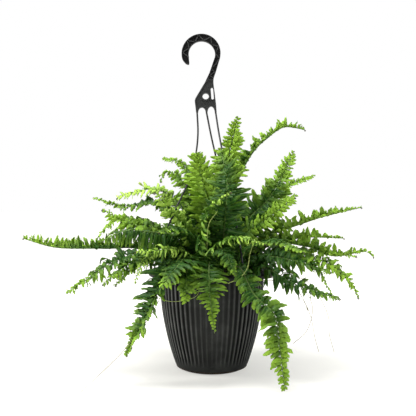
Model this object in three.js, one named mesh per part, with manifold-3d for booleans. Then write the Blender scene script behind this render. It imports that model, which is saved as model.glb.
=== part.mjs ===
// A potted fern: a ribbed plastic pot of soil, a three-strand plastic hanger and its separate fronds.
// Units are millimetres. +Z is up, +X points to the right in the front view, +Y away from it.
// The origin is the centre of the flat base that the pot stands on.

import * as THREE from "three";
import { mergeVertices } from "three/addons/utils/BufferGeometryUtils.js";
import Module from "manifold-3d";

const wasm = await Module();
wasm.setup();

// ---- Driving dimensions -------------------------------------------------------------------------

const CLEARANCE = 0.4; // gap kept between neighbouring pieces

const POT = {
  height: 191,
  baseRadius: 63,
  mouthRadius: 103.5, // outside of the wall under the rim
  mouthHeight: 179, // the wall is upright at this height
  bulge: 0.00107, // how fast the wall draws in below that height
  wall: 2.2,
  floor: 3,
  ribs: 60,
  ribDepth: 1.4,
  ribFoot: 14, // the ribs fade out between these two heights
  ribStart: 26,
  ribEnd: 177,
};

const RIM = {
  radius: 125,
  drop: 9, // height of its turned-down edge
  skin: 2.4,
  corner: 3.2,
};

const DRAIN = { count: 4, radius: 5, ring: 38, sides: 10 };

const SOIL = { top: 178, mound: 3, lump: 1.6, gap: CLEARANCE, sides: 30, stemDepth: 12 };

const HOOK = {
  centre: [-20.5, 623], // of the hook's bend, as x and z
  bend: 32.7, // radius of the bend's middle line
  band: 7, // half of the band's width over the top
  shank: 5.2, // half of its width where it turns into the shank
  tipAngle: 220,
  shankAngle: -22,
  thickness: 7,
  recess: 1.7, // depth of the channel in each face
  flange: 1.9, // width of the flange that edges the channel
};

const PLATE = {
  legEnd: 506,
  eye: [-12, 538],
  eyeRadius: 6.4,
  bossRadius: 8.8,
  bossRise: 0.9,
  slot: { foot: [1.8, 534], head: [0.4, 553], width: 5 },
};

const STRAND = { radius: 1.7, sides: 8, steps: 14, rimRing: 115, hole: 2.3, collar: 4, barb: 3.6 };

const STEM = { halfWidth: 1.25, halfThickness: 1.15, steps: 3 };

const BLADE = {
  halfThickness: 0.45,
  ribHalfWidth: 1.3,
  stemShare: 0.27, // bare part of the frond, below its first leaflets
  leafletLean: 0.16, // how far a leaflet points forward, as a share of its length
  leafletLift: 0.12, // and how far it rises out of the blade
  taper: 1.6, // the higher it is, the nearer to the tip the blade stays wide
  foot: 0.3, // share of the blade over which it grows to its full width
};

const PLANT = {
  crownRadius: 80,
  spareSites: 10, // places on the soil where no stem stands
  goldenAngle: 137.508,
  seed: 20,
};

// ---- Small helpers ------------------------------------------------------------------------------

const radians = THREE.MathUtils.degToRad;
const vec = (x, y, z) => new THREE.Vector3(x, y, z);

/** A repeatable stream of numbers from 0 to 1. */
function seededRandom(seed) {
  let state = seed;
  return () => {
    state = (state + 0x6d2b79f5) | 0;
    let mixed = Math.imul(state ^ (state >>> 15), 1 | state);
    mixed = (mixed + Math.imul(mixed ^ (mixed >>> 7), 61 | mixed)) ^ mixed;
    return ((mixed ^ (mixed >>> 14)) >>> 0) / 4294967296;
  };
}

/** Piecewise straight line through rising [position, value] pairs. */
function along(pairs, position) {
  const next = Math.max(1, pairs.findIndex(([at]) => at >= position));
  const [a, valueA] = pairs[next - 1];
  const [b, valueB] = pairs[next];
  return THREE.MathUtils.lerp(valueA, valueB, (position - a) / (b - a));
}

function bodyFromTriangles(positions, triangles) {
  const geometry = new THREE.BufferGeometry();
  geometry.setAttribute("position", new THREE.Float32BufferAttribute(positions, 3));
  geometry.setIndex(triangles);
  return geometry;
}

function toSolid(geometry) {
  const bare = geometry.clone();
  bare.deleteAttribute("normal");
  bare.deleteAttribute("uv");
  const welded = mergeVertices(bare, 1e-4);
  return new wasm.Manifold(
    new wasm.Mesh({
      numProp: 3,
      vertProperties: new Float32Array(welded.attributes.position.array),
      triVerts: new Uint32Array(welded.index.array),
    }),
  );
}

function fromSolid(solid) {
  const { vertProperties, triVerts } = solid.getMesh();
  return bodyFromTriangles(vertProperties, [...triVerts]);
}

/** An upright prism with its axis along Z. */
function post(radius, low, high, x, y, sides) {
  const prism = new THREE.CylinderGeometry(radius, radius, high - low, sides);
  return toSolid(prism.rotateX(Math.PI / 2).translate(x, y, (low + high) / 2));
}

/**
 * A body of revolution whose rows may differ in their number of columns by a factor of two.
 * Each row has a count and a function from angle to [radius, height]. The first and last
 * heights close the body on its axis.
 */
function turnedBody(lowHeight, rows, highHeight) {
  const positions = [0, 0, lowHeight];
  const triangles = [];
  const starts = rows.map(({ count, at }) => {
    const start = positions.length / 3;
    for (let k = 0; k < count; k += 1) {
      const angle = (2 * Math.PI * k) / count;
      const [radius, height] = at(angle, k);
      positions.push(radius * Math.cos(angle), radius * Math.sin(angle), height);
    }
    return start;
  });
  const vertex = (row, k) => starts[row] + (k % rows[row].count);
  for (let k = 0; k < rows[0].count; k += 1) {
    triangles.push(0, vertex(0, k + 1), vertex(0, k));
  }
  for (let row = 0; row + 1 < rows.length; row += 1) {
    const below = rows[row].count;
    const above = rows[row + 1].count;
    const low = (k) => vertex(row, k);
    const high = (k) => vertex(row + 1, k);
    for (let k = 0; k < Math.min(below, above); k += 1) {
      if (below === above) {
        triangles.push(low(k), low(k + 1), high(k + 1), low(k), high(k + 1), high(k));
      } else if (below < above) {
        triangles.push(low(k), low(k + 1), high(2 * k + 1), low(k), high(2 * k + 1), high(2 * k));
        triangles.push(low(k + 1), high(2 * k + 2), high(2 * k + 1));
      } else {
        triangles.push(low(2 * k), low(2 * k + 1), high(k), low(2 * k + 1), low(2 * k + 2), high(k + 1));
        triangles.push(low(2 * k + 1), high(k + 1), high(k));
      }
    }
  }
  const last = rows.length - 1;
  const apex = positions.push(0, 0, highHeight) / 3 - 1;
  for (let k = 0; k < rows[last].count; k += 1) {
    triangles.push(vertex(last, k), vertex(last, k + 1), apex);
  }
  return bodyFromTriangles(positions, triangles);
}

// ---- Pot ----------------------------------------------------------------------------------------

const wallRadius = (z) => POT.mouthRadius - POT.bulge * (POT.mouthHeight - z) ** 2;

const insideRadius = (z) => wallRadius(z) - POT.ribDepth - POT.wall;

// The inside of the pot, as straight steps that the soil follows.
const INSIDE = [POT.floor, 14, 60, 120, POT.height].map((z) => [
  z,
  z < 14 ? POT.baseRadius + 1 : insideRadius(Math.min(z, POT.mouthHeight)),
]);

function potBody() {
  const plain = (z, radius, count = POT.ribs) => ({ count, at: () => [radius, z] });
  const ribbed = (z) => ({
    count: 2 * POT.ribs,
    at: (angle, k) => [wallRadius(z) - (k % 2) * POT.ribDepth, z],
  });
  const ribHeights = [0, 1 / 3, 2 / 3, 1].map((s) => THREE.MathUtils.lerp(POT.ribStart, POT.ribEnd, s));
  const top = POT.height;
  const outer = [
    plain(0, POT.baseRadius),
    plain(2, POT.baseRadius + 4.5),
    plain(7, wallRadius(7) - 0.2),
    plain(POT.ribFoot, wallRadius(POT.ribFoot)),
    ...ribHeights.map(ribbed),
    plain(top - RIM.skin, POT.mouthRadius + 0.6),
  ];
  const rim = [
    plain(top - RIM.skin - 0.6, RIM.radius - RIM.skin - 1),
    plain(top - RIM.drop, RIM.radius - RIM.skin),
    plain(top - RIM.drop + 0.8, RIM.radius - 0.4),
    plain(top - RIM.corner, RIM.radius),
    plain(top, RIM.radius - RIM.corner),
  ];
  const inner = INSIDE.toReversed().map(([z, radius]) => plain(z, radius, SOIL.sides));
  let pot = toSolid(turnedBody(0, [...outer, ...rim, ...inner], POT.floor));
  for (let k = 0; k < DRAIN.count; k += 1) {
    const angle = radians(45 + (360 * k) / DRAIN.count);
    const [x, y] = [DRAIN.ring * Math.cos(angle), DRAIN.ring * Math.sin(angle)];
    pot = pot.subtract(post(DRAIN.radius, -1, POT.floor + 1, x, y, DRAIN.sides));
  }
  for (const { x, y } of strandFeet()) {
    pot = pot.subtract(post(STRAND.hole, top - RIM.drop, top + 1, x, y, STRAND.sides));
  }
  return pot;
}

// ---- Hanger -------------------------------------------------------------------------------------

/** Where the three strands are clipped into the rim: at the left, at the front and at the back. */
function strandFeet() {
  return [180, -60, 60].map((degrees) => ({
    x: STRAND.rimRing * Math.cos(radians(degrees)),
    y: STRAND.rimRing * Math.sin(radians(degrees)),
  }));
}

/** Half width of the hook's band at an angle of its bend, in degrees. */
function bandHalfWidth(angle) {
  const taper = Math.sqrt(THREE.MathUtils.clamp((HOOK.tipAngle - angle) / 26, 0, 1));
  const slim = THREE.MathUtils.smoothstep(angle, HOOK.shankAngle, 80);
  return taper * THREE.MathUtils.lerp(HOOK.shank, HOOK.band, slim);
}

/** Points along one edge of the bend, from its first angle to its last, in degrees. */
function bendEdge(first, last, steps, side, inset = 0) {
  return Array.from({ length: steps + 1 }, (_, k) => {
    const angle = THREE.MathUtils.lerp(first, last, k / steps);
    const radius = HOOK.bend + side * Math.max(0, bandHalfWidth(angle) - inset);
    return new THREE.Vector2(
      HOOK.centre[0] + radius * Math.cos(radians(angle)),
      HOOK.centre[1] + radius * Math.sin(radians(angle)),
    );
  });
}

/** The rounded top of the gap between two legs, walked from right to left. */
function archEdge(right, left, foot, crown) {
  const steps = 6;
  return Array.from({ length: steps + 1 }, (_, k) => {
    const angle = (Math.PI * k) / steps;
    const middle = (right + left) / 2;
    const half = (right - left) / 2;
    return new THREE.Vector2(middle + half * Math.cos(angle), foot + (crown - foot) * Math.sin(angle));
  });
}

/** Extrudes an outline in X and Z, centred on Y. */
function standingPlate(outline, thickness, centreY = 0) {
  const shape = new THREE.Shape(outline);
  const flat = new THREE.ExtrudeGeometry(shape, { depth: thickness, bevelEnabled: false, curveSegments: 8 });
  return toSolid(flat.rotateX(Math.PI / 2).translate(0, centreY + thickness / 2, 0));
}

function roundOutline([x, z], radius, sides) {
  return Array.from({ length: sides }, (_, k) => {
    const angle = (2 * Math.PI * k) / sides;
    return new THREE.Vector2(x + radius * Math.cos(angle), z + radius * Math.sin(angle));
  });
}

function slotOutline({ foot, head, width }) {
  const half = width / 2;
  const ends = [
    [foot, 180],
    [head, 0],
  ];
  return ends.flatMap(([[x, z], first]) =>
    [0, 60, 120, 180].map((turn) => {
      const angle = radians(first + turn);
      return new THREE.Vector2(x + half * Math.cos(angle), z + half * Math.sin(angle));
    }),
  );
}

const LEGS = { left: [-31.2, -27], middle: [-12.1, -8.3], right: [6.1, 9.9] };

function hookBody() {
  const { tipAngle, shankAngle, thickness, recess, flange } = HOOK;
  const point = (x, z) => new THREE.Vector2(x, z);
  const outline = [
    ...bendEdge(tipAngle, shankAngle, 26, 1),
    point(8.2, 587),
    point(4.4, 576),
    point(6.2, 543),
    point(8.6, 523),
    point(LEGS.right[1], PLATE.legEnd),
    ...archEdge(LEGS.right[0], LEGS.middle[1], PLATE.legEnd, 518),
    ...archEdge(LEGS.middle[0], LEGS.left[1], PLATE.legEnd, 516),
    point(LEGS.left[0], PLATE.legEnd),
    point(-34, 529),
    point(-32.5, 534),
    point(-13.4, 566),
    point(-4.5, 585),
    ...bendEdge(shankAngle, tipAngle - 4, 22, -1),
  ];
  const channel = [
    ...bendEdge(tipAngle - 12, shankAngle, 18, 1, flange),
    ...bendEdge(shankAngle, tipAngle - 12, 18, -1, flange),
  ];
  let body = standingPlate(outline, thickness);
  for (const side of [-1, 1]) {
    const face = (side * thickness) / 2;
    body = body.subtract(standingPlate(channel, 2 * recess, face));
    const bossThickness = 2 * PLATE.bossRise;
    body = body.add(standingPlate(roundOutline(PLATE.eye, PLATE.bossRadius, 16), bossThickness, face));
  }
  body = body.subtract(standingPlate(roundOutline(PLATE.eye, PLATE.eyeRadius, 16), 2 * thickness));
  return body.subtract(standingPlate(slotOutline(PLATE.slot), 2 * thickness));
}

// Each strand runs from its leg of the plate to its hole in the rim, by way of these points.
function strandRoutes() {
  const [left, front, back] = strandFeet();
  const legX = ([a, b]) => (a + b) / 2;
  const start = PLATE.legEnd - CLEARANCE;
  return [
    {
      name: "hanger_strand_left",
      foot: left,
      via: [[legX(LEGS.left), 0, start], [-27.5, 0, 465], [-31, 0, 427], [-44, 0, 376], [-76, 0, 304], [-107, 0, 229]],
    },
    {
      name: "hanger_strand_front",
      foot: front,
      via: [[legX(LEGS.right), 0, start], [14, -8, 465], [26, -30, 398], [46, -72, 283], [54.5, -92, 225]],
    },
    {
      name: "hanger_strand_back",
      foot: back,
      via: [[legX(LEGS.middle), 0, start], [-2, 9, 465], [14, 33, 398], [40, 74, 283], [53, 93, 225]],
    },
  ];
}

function strandBody({ foot, via }) {
  const { radius, sides, steps, collar, barb } = STRAND;
  const top = POT.height;
  const underside = top - RIM.skin - 0.6;
  const route = [...via.map((p) => vec(...p)), vec(foot.x, foot.y, top + 1.4)];
  const tube = new THREE.ExtrudeGeometry(new THREE.Shape(roundOutline([0, 0], radius, sides)), {
    steps,
    extrudePath: new THREE.CatmullRomCurve3(route),
  });
  const head = new THREE.CylinderGeometry(barb, 1.2, 6, sides).rotateX(Math.PI / 2);
  const barbTop = underside - CLEARANCE;
  return toSolid(tube)
    .add(post(radius, barbTop - 3, top + 2, foot.x, foot.y, sides))
    .add(post(collar, top + CLEARANCE, top + CLEARANCE + 2, foot.x, foot.y, sides))
    .add(toSolid(head.translate(foot.x, foot.y, barbTop - 3)));
}

// ---- Soil ---------------------------------------------------------------------------------------

function soilBody() {
  const random = seededRandom(PLANT.seed);
  const { sides, gap, top, mound, lump } = SOIL;
  const wallRows = INSIDE.filter(([z]) => z < top).map(([z, radius]) => ({
    count: sides,
    at: () => [radius - gap, z === POT.floor ? z + gap : z],
  }));
  const edge = along(INSIDE, top) - gap;
  const topRow = (share) => ({
    count: sides,
    at: () => [edge * share, top - 2 + mound * (1 - share) + lump * (random() - 0.5)],
  });
  const edgeRow = { count: sides, at: () => [edge, top - 4] };
  const rows = [...wallRows, edgeRow, ...[0.94, 0.7, 0.44, 0.2].map(topRow)];
  return toSolid(turnedBody(POT.floor + gap, rows, top + mound - 2));
}

// ---- Fronds -------------------------------------------------------------------------------------

// What the front view shows: each frond by the points that its midrib passes through, its width
// across the leaflets, how far the blade is rolled to face the front, its leaflet pairs, and, where
// they differ from the usual ones, how bluntly it ends and how far along it reaches its full width.
const SHOWN = [
  { via: [[-135, -15, 231], [-213, -30, 236], [-305, -38, 239]], tip: [-364, -40, 256], width: 46, roll: 6, pairs: 13 },
  { via: [[-70, 20, 300], [-127, 35, 329], [-172, 45, 317]], tip: [-247, 60, 337], width: 36, roll: 25, pairs: 10, taper: 1.2 },
  { via: [[-50, 25, 300], [-108, 45, 352], [-150, 55, 351]], tip: [-199, 60, 336], width: 42, roll: 30, pairs: 9, taper: 1.4 },
  { via: [[-30, 30, 310], [-42, 55, 378], [-66, 85, 412]], tip: [-106, 108, 424], width: 36, roll: 40, pairs: 9, taper: 1.2 },
  { via: [[-34, 18, 310], [-58, 28, 368], [-90, 32, 391]], tip: [-106, 34, 370], width: 48, roll: 40, pairs: 9, taper: 1.8 },
  { via: [[0, -34, 263], [-9, -38, 333], [-21, -36, 378]], tip: [-29, -32, 424], width: 60, roll: 64, pairs: 12, taper: 4 },
  { via: [[-80, -20, 255], [-121, -20, 277], [-165, -20, 284]], tip: [-214, -20, 311], width: 52, roll: 35, pairs: 10, taper: 1.4 },
  { via: [[-95, 28, 262], [-160, 30, 293], [-203, 30, 288]], tip: [-237, 30, 250], width: 32, roll: 15, pairs: 9 },
  { via: [[-115, -40, 231], [-195, -55, 212], [-234, -64, 187]], tip: [-273, -70, 165], width: 48, roll: 25, pairs: 11 },
  { via: [[-98, -60, 221], [-156, -78, 209]], tip: [-202, -90, 174], width: 40, roll: 25, pairs: 8 },
  { via: [[-92, -24, 219], [-146, -34, 206]], tip: [-187, -40, 160], width: 34, roll: 25, pairs: 8, taper: 1.2 },
  { via: [[-80, -60, 225], [-122, -92, 221]], tip: [-140, -110, 181], width: 42, roll: 15, pairs: 8 },
  { via: [[-32, -78, 220], [-66, -106, 243], [-104, -122, 242]], tip: [-133, -126, 243], width: 44, roll: 20, pairs: 9 },
  { via: [[-72, -94, 220], [-96, -124, 158], [-116, -134, 112]], tip: [-147, -132, 48], width: 60, roll: 4, pairs: 12 },
  { via: [[-50, -106, 216], [-64, -152, 200]], tip: [-88, -170, 164], width: 66, roll: 0, pairs: 8, taper: 2.2 },
  { via: [[-40, -104, 215], [-46, -134, 189]], tip: [-46, -142, 147], width: 54, roll: 0, pairs: 8, taper: 2 },
  { via: [[-5, -110, 217], [-5, -146, 173]], tip: [4, -150, 99], width: 66, roll: 0, pairs: 11, taper: 1.1 },
  { via: [[46, -118, 212], [74, -150, 163], [106, -166, 133], [114, -169, 83]], tip: [124, -168, 3], width: 76, roll: 30, pairs: 14, foot: 0.62 },
  { via: [[14, 4, 293], [30, 10, 393]], tip: [53, 20, 501], width: 74, roll: 62, pairs: 13, taper: 1.8 },
  { via: [[46, 24, 345], [86, 38, 430], [120, 46, 463], [152, 52, 484]], tip: [197, 60, 479], width: 46, roll: 10, pairs: 13 },
  { via: [[66, -12, 283], [116, -18, 338]], tip: [161, -20, 426], width: 68, roll: 55, pairs: 12, taper: 1.2 },
  { via: [[76, 22, 285], [140, 38, 351]], tip: [215, 50, 384], width: 42, roll: 25, pairs: 9, taper: 1.3 },
  { via: [[68, 40, 269], [122, 62, 315]], tip: [183, 90, 343], width: 40, roll: 30, pairs: 9, taper: 1.2 },
  { via: [[62, -32, 255], [112, -44, 293]], tip: [165, -50, 330], width: 50, roll: 45, pairs: 9, taper: 1.4 },
  { via: [[96, -8, 245], [190, -15, 288], [248, -18, 305]], tip: [294, -20, 316], width: 52, roll: 6, pairs: 12, taper: 1.2 },
  { via: [[105, 32, 235], [190, 48, 253]], tip: [279, 60, 251], width: 44, roll: 5, pairs: 10 },
  { via: [[112, -14, 240], [197, -22, 237], [236, -26, 221], [304, -30, 229]], tip: [316, -30, 219], width: 50, roll: 8, pairs: 12, taper: 1.2 },
  { via: [[120, 48, 219], [215, 62, 215]], tip: [310, 70, 196], width: 32, roll: 15, pairs: 9, taper: 1.2 },
  { via: [[120, -32, 223], [205, -42, 217], [256, -48, 185]], tip: [282, -50, 143], width: 48, roll: 30, pairs: 12, taper: 1.2 },
  { via: [[128, 12, 215], [205, 22, 199]], tip: [246, 30, 131], width: 32, roll: 20, pairs: 9 },
  { via: [[90, -50, 219], [150, -66, 217]], tip: [221, -80, 196], width: 52, roll: 30, pairs: 9 },
  { via: [[84, -86, 204], [160, -102, 164], [198, -104, 149]], tip: [231, -104, 137], width: 44, roll: 20, pairs: 10, taper: 1.2 },
  { via: [[4, -90, 244], [40, -122, 268]], tip: [90, -134, 262], width: 44, roll: 15, pairs: 8 },
  { via: [[-13, -84, 262], [-9, -92, 302], [8, -96, 326]], tip: [33, -100, 344], width: 40, roll: 20, pairs: 9 },
  { via: [[-44, -44, 261], [-80, -68, 305]], tip: [-110, -80, 339], width: 50, roll: 35, pairs: 8 },
  { via: [[-44, -72, 256], [-70, -114, 272]], tip: [-96, -160, 262], width: 58, roll: 10, pairs: 9 },
  { via: [[10, -100, 236], [22, -128, 236]], tip: [40, -146, 200], width: 44, roll: 10, pairs: 9 },
  { via: [[-34, -92, 226], [-56, -124, 222]], tip: [-74, -140, 196], width: 46, roll: 10, pairs: 9 },
  { via: [[62, -80, 241], [104, -128, 261]], tip: [148, -182, 247], width: 54, roll: 10, pairs: 9 },
  { via: [[-66, -70, 258], [-121, -100, 272], [-157, -112, 274]], tip: [-196, -122, 256], width: 70, roll: 40, pairs: 10 },
  { via: [[24, -86, 290], [28, -70, 370]], tip: [17, -36, 427], width: 60, roll: 5, pairs: 12, taper: 4 },
];

// The fronds that the front view shows whole take their places before the others.
const PLANTED_FIRST = [41, 6, 5, 4, 19, 20, 18, 17, 16, 15, 14, 33, 40, 34, 13, 21, 36];

// The sides that the front view hides: tiers of fronds spread evenly over a range of azimuths.
const TIERS = [
  { fronds: 5, from: 42, to: 138, reach: 245, crest: 241, tipHeight: 170, width: 54, pairs: 10 },
  { fronds: 4, from: 55, to: 140, reach: 185, crest: 323, tipHeight: 333, width: 50, pairs: 9 },
  { fronds: 4, from: 48, to: 150, reach: 285, crest: 281, tipHeight: 245, width: 52, pairs: 11 },
];

/** The routes of the hidden fronds, with a little seeded difference from one to the next. */
function hiddenFronds() {
  const random = seededRandom(PLANT.seed + 1);
  return TIERS.flatMap(({ fronds, from, to, reach, crest, tipHeight, width, pairs }) =>
    Array.from({ length: fronds }, (_, k) => {
      const azimuth = radians(THREE.MathUtils.lerp(from, to, k / (fronds - 1)) + 8 * (random() - 0.5));
      const out = (share, z) => {
        const radius = reach * share;
        return [radius * Math.cos(azimuth), radius * Math.sin(azimuth), z];
      };
      const lift = 30 * (random() - 0.5);
      return {
        via: [out(0.4, SOIL.top + 0.6 * (crest - SOIL.top) + lift), out(0.72, crest + lift)],
        tip: out(1 + 0.1 * (random() - 0.5), tipHeight + lift),
        width,
        roll: 40 * (random() - 0.5),
        pairs,
      };
    }),
  );
}

/** Evenly spread places on the soil where the stems stand, spiralling out from the middle. */
function stemSites(count) {
  return Array.from({ length: count }, (_, k) => {
    const radius = PLANT.crownRadius * Math.sqrt((k + 0.5) / count);
    const angle = radians(PLANT.goldenAngle * k);
    return vec(radius * Math.cos(angle), radius * Math.sin(angle), SOIL.top - SOIL.stemDepth);
  });
}

/** Takes the free site that lies best under the first point that the frond passes through. */
function takeSite(sites, { via: [[x, y]] }) {
  const wanted = vec(0.62 * x, 0.62 * y, 0).clampLength(0, PLANT.crownRadius - 4);
  const distance = (site) => Math.hypot(site.x - wanted.x, site.y - wanted.y);
  const best = sites.reduce((near, site) => (distance(site) < distance(near) ? site : near));
  sites.splice(sites.indexOf(best), 1);
  return best;
}

/** Half the blade's width at a share of its length, from 0 at its foot to 1 at its tip. */
function bladeHalfWidth({ width, taper = BLADE.taper, foot = BLADE.foot }, share) {
  const growth = 0.5 + 0.5 * Math.min(1, share / foot);
  return 0.5 * width * growth * (1 - share ** taper) ** 0.8 + 2;
}

/**
 * One frond as a closed sheet: a stem, a midrib and a leaflet at each side between two stations.
 * The placing turns it about its root and leans it outwards, and grow thickens it all round.
 */
function frondBody(frond, root, { turn, lean, slim }, grow = 0) {
  const { via, tip, roll, pairs } = frond;
  const azimuth = Math.atan2(tip[1] - root.y, tip[0] - root.x);
  const outward = vec(Math.cos(azimuth), Math.sin(azimuth), 0);
  const across = vec(-outward.y, outward.x, 0);
  const place = (point) =>
    point
      .sub(root)
      .applyAxisAngle(across, radians(lean))
      .applyAxisAngle(vec(0, 0, 1), radians(turn))
      .add(root);
  const points = [root.clone(), ...[...via, tip].map((p) => vec(...p))].map(place);
  const curve = new THREE.CatmullRomCurve3(points);
  across.applyAxisAngle(vec(0, 0, 1), radians(turn));
  const rollAngle = radians(roll) * (across.y >= 0 ? 1 : -1);

  const positions = [];
  const triangles = [];
  const addPair = (centre, normal, half) => {
    positions.push(...centre.clone().addScaledVector(normal, half).toArray());
    positions.push(...centre.clone().addScaledVector(normal, -half).toArray());
    return positions.length / 6 - 1;
  };
  const addFace = (a, b, c) => triangles.push(2 * a, 2 * b, 2 * c, 2 * a + 1, 2 * c + 1, 2 * b + 1);
  const addWall = (a, b) => {
    triangles.push(2 * a + 1, 2 * b + 1, 2 * b, 2 * a + 1, 2 * b, 2 * a);
  };

  const stations = [];
  const stationCount = STEM.steps + pairs;
  for (let k = 0; k <= stationCount; k += 1) {
    const blade = (k - STEM.steps) / pairs;
    const inBlade = blade >= 0;
    const share = inBlade
      ? THREE.MathUtils.lerp(BLADE.stemShare, 1, blade)
      : (BLADE.stemShare * k) / STEM.steps;
    const tangent = curve.getTangentAt(share);
    const centre = curve.getPointAt(share).addScaledVector(tangent, k === 0 ? -grow : 0);
    const side = across.clone().addScaledVector(tangent, -tangent.dot(across)).normalize();
    side.applyAxisAngle(tangent, rollAngle);
    const normal = tangent.clone().cross(side);
    const ribHalf = inBlade ? BLADE.ribHalfWidth * (1 - 0.55 * blade) : STEM.halfWidth;
    const half = (blade > 0 ? BLADE.halfThickness : STEM.halfThickness) + grow;
    stations.push({
      centre,
      tangent,
      side,
      normal,
      blade,
      left: addPair(centre.clone().addScaledVector(side, ribHalf + grow), normal, half),
      right: addPair(centre.clone().addScaledVector(side, -ribHalf - grow), normal, half),
    });
  }
  stations.slice(1).forEach((next, k) => {
    const here = stations[k];
    addFace(here.right, next.right, next.left);
    addFace(here.right, next.left, here.left);
    if (here.blade < 0) {
      addWall(here.right, next.right);
      addWall(next.left, here.left);
      return;
    }
    const middle = (here.blade + next.blade) / 2;
    const reach = slim * bladeHalfWidth(frond, middle) + grow;
    const leafTip = (sign) => {
      const point = here.centre.clone().lerp(next.centre, 0.6).addScaledVector(here.side, sign * reach);
      point.addScaledVector(here.tangent, BLADE.leafletLean * reach);
      point.addScaledVector(here.normal, BLADE.leafletLift * reach);
      return addPair(point, here.normal, BLADE.halfThickness + grow);
    };
    const right = leafTip(-1);
    addFace(here.right, right, next.right);
    addWall(here.right, right);
    addWall(right, next.right);
    const left = leafTip(1);
    addFace(here.left, next.left, left);
    addWall(next.left, left);
    addWall(left, here.left);
  });
  const [first, last] = [stations[0], stations[stationCount]];
  addWall(last.right, last.left);
  addWall(first.left, first.right);
  return toSolid(bodyFromTriangles(positions, triangles));
}

/** Small turns and leans to try, gentlest first, and narrower blades as the last resort. */
function placings() {
  const steps = [0, 2, -2, 4, -4, 7, -7, 10, -10, 14, -14, 20, -20, 28, -28];
  const pairs = steps.flatMap((turn) => steps.map((lean) => ({ turn, lean })));
  pairs.sort((a, b) => Math.hypot(a.turn, a.lean) - Math.hypot(b.turn, b.lean));
  return [1, 0.75, 0.5].flatMap((slim) => pairs.map((pair) => ({ ...pair, slim })));
}

const touches = (a, b) => {
  const [boxA, boxB] = [a.boundingBox(), b.boundingBox()];
  const apart = [0, 1, 2].some((i) => boxA.min[i] > boxB.max[i] || boxB.min[i] > boxA.max[i]);
  return !apart && !a.intersect(b).isEmpty();
};

/** Stands each frond in its own hole in the soil, bent clear of all that stands there already. */
function plantFronds(soil, obstacles) {
  const routes = [...SHOWN, ...hiddenFronds()];
  const sites = stemSites(routes.length + PLANT.spareSites);
  const tries = placings();
  const standing = [...obstacles];
  const first = PLANTED_FIRST.map((number) => number - 1);
  const others = routes.map((_, k) => k).filter((k) => !first.includes(k));
  const order = [...first, ...others];
  const fronds = [];
  let bed = soil;
  order.forEach((k) => {
    const frond = routes[k];
    const root = takeSite(sites, frond);
    const placing =
      tries.find((candidate) => {
        const grown = frondBody(frond, root, candidate, CLEARANCE);
        return !standing.some((other) => touches(grown, other));
      }) ?? tries[0];
    const body = frondBody(frond, root, placing);
    bed = bed.subtract(frondBody(frond, root, placing, CLEARANCE));
    standing.push(body);
    fronds[k] = body;
  });
  return { bed, fronds };
}

// ---- The object ---------------------------------------------------------------------------------

const potPlastic = { color: 0x2e3033, roughness: 0.62, metalness: 0 };
const hangerPlastic = { color: 0x1b1c1e, roughness: 0.45, metalness: 0 };
const peat = { color: 0x2f2118, roughness: 0.95, metalness: 0 };
const leafGreens = [0x5f9a35, 0x4c8a2c, 0x76b043, 0x3c7526].map((color) => ({
  color,
  roughness: 0.6,
  metalness: 0,
}));

const fern = new THREE.Group();
fern.name = "potted_fern";

function addPiece(name, solid, finish) {
  const mesh = new THREE.Mesh(fromSolid(solid), new THREE.MeshStandardMaterial(finish));
  mesh.name = name;
  fern.add(mesh);
}

const pot = potBody();
const hook = hookBody();
const strands = strandRoutes().map((strand) => ({ name: strand.name, solid: strandBody(strand) }));
const { bed, fronds } = plantFronds(soilBody(), [pot, hook, ...strands.map(({ solid }) => solid)]);

addPiece("pot", pot, potPlastic);
addPiece("potting_soil", bed, peat);
addPiece("hanger_hook", hook, hangerPlastic);
strands.forEach(({ name, solid }) => addPiece(name, solid, hangerPlastic));
fronds.forEach((frond, k) => {
  const name = `frond_${String(k + 1).padStart(2, "0")}`;
  addPiece(name, frond, leafGreens[k % leafGreens.length]);
});

export default fern;
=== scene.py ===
"""A potted fern on a three-strand hanger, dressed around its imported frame.

Units are metres. +Z is up and the camera looks along +Y. Every frond follows the midrib and the
reach of its own node in the frame, so nothing here repeats where a frond stands or leans.
"""

import logging
import math
from collections.abc import Iterable
from dataclasses import dataclass, field, replace
from enum import Enum
from itertools import pairwise

import bmesh
import bpy
import numpy as np
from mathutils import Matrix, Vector, noise


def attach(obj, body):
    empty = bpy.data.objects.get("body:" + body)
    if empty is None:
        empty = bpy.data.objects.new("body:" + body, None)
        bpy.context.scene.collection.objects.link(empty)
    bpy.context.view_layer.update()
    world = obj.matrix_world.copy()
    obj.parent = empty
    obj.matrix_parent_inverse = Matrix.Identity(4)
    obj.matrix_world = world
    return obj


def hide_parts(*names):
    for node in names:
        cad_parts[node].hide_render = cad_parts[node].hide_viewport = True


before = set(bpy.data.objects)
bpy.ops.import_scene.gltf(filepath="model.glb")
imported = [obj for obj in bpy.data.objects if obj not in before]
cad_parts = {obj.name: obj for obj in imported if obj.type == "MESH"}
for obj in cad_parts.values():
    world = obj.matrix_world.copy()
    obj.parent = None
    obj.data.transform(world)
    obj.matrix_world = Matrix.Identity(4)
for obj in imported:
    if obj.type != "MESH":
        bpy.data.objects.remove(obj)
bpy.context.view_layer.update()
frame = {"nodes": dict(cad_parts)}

MM = 0.001
UP = np.array([0.0, 0.0, 1.0])

Array = np.ndarray
Colour = tuple[float, float, float]
Range = tuple[float, float]
Point = tuple[float, float, float]

log = logging.getLogger("potted_fern")


# ---- Numbers and lines ----------------------------------------------------------------------------


def smoothstep(value: Array | float, low: float, high: float) -> Array | float:
    """Rises smoothly from 0 at low to 1 at high."""
    share = np.clip((value - low) / (high - low), 0.0, 1.0)
    return share * share * (3 - 2 * share)


def unit(vectors: Array) -> Array:
    """Vectors of length 1 with the same directions."""
    return vectors / np.maximum(np.linalg.norm(vectors, axis=-1, keepdims=True), 1e-12)


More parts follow.
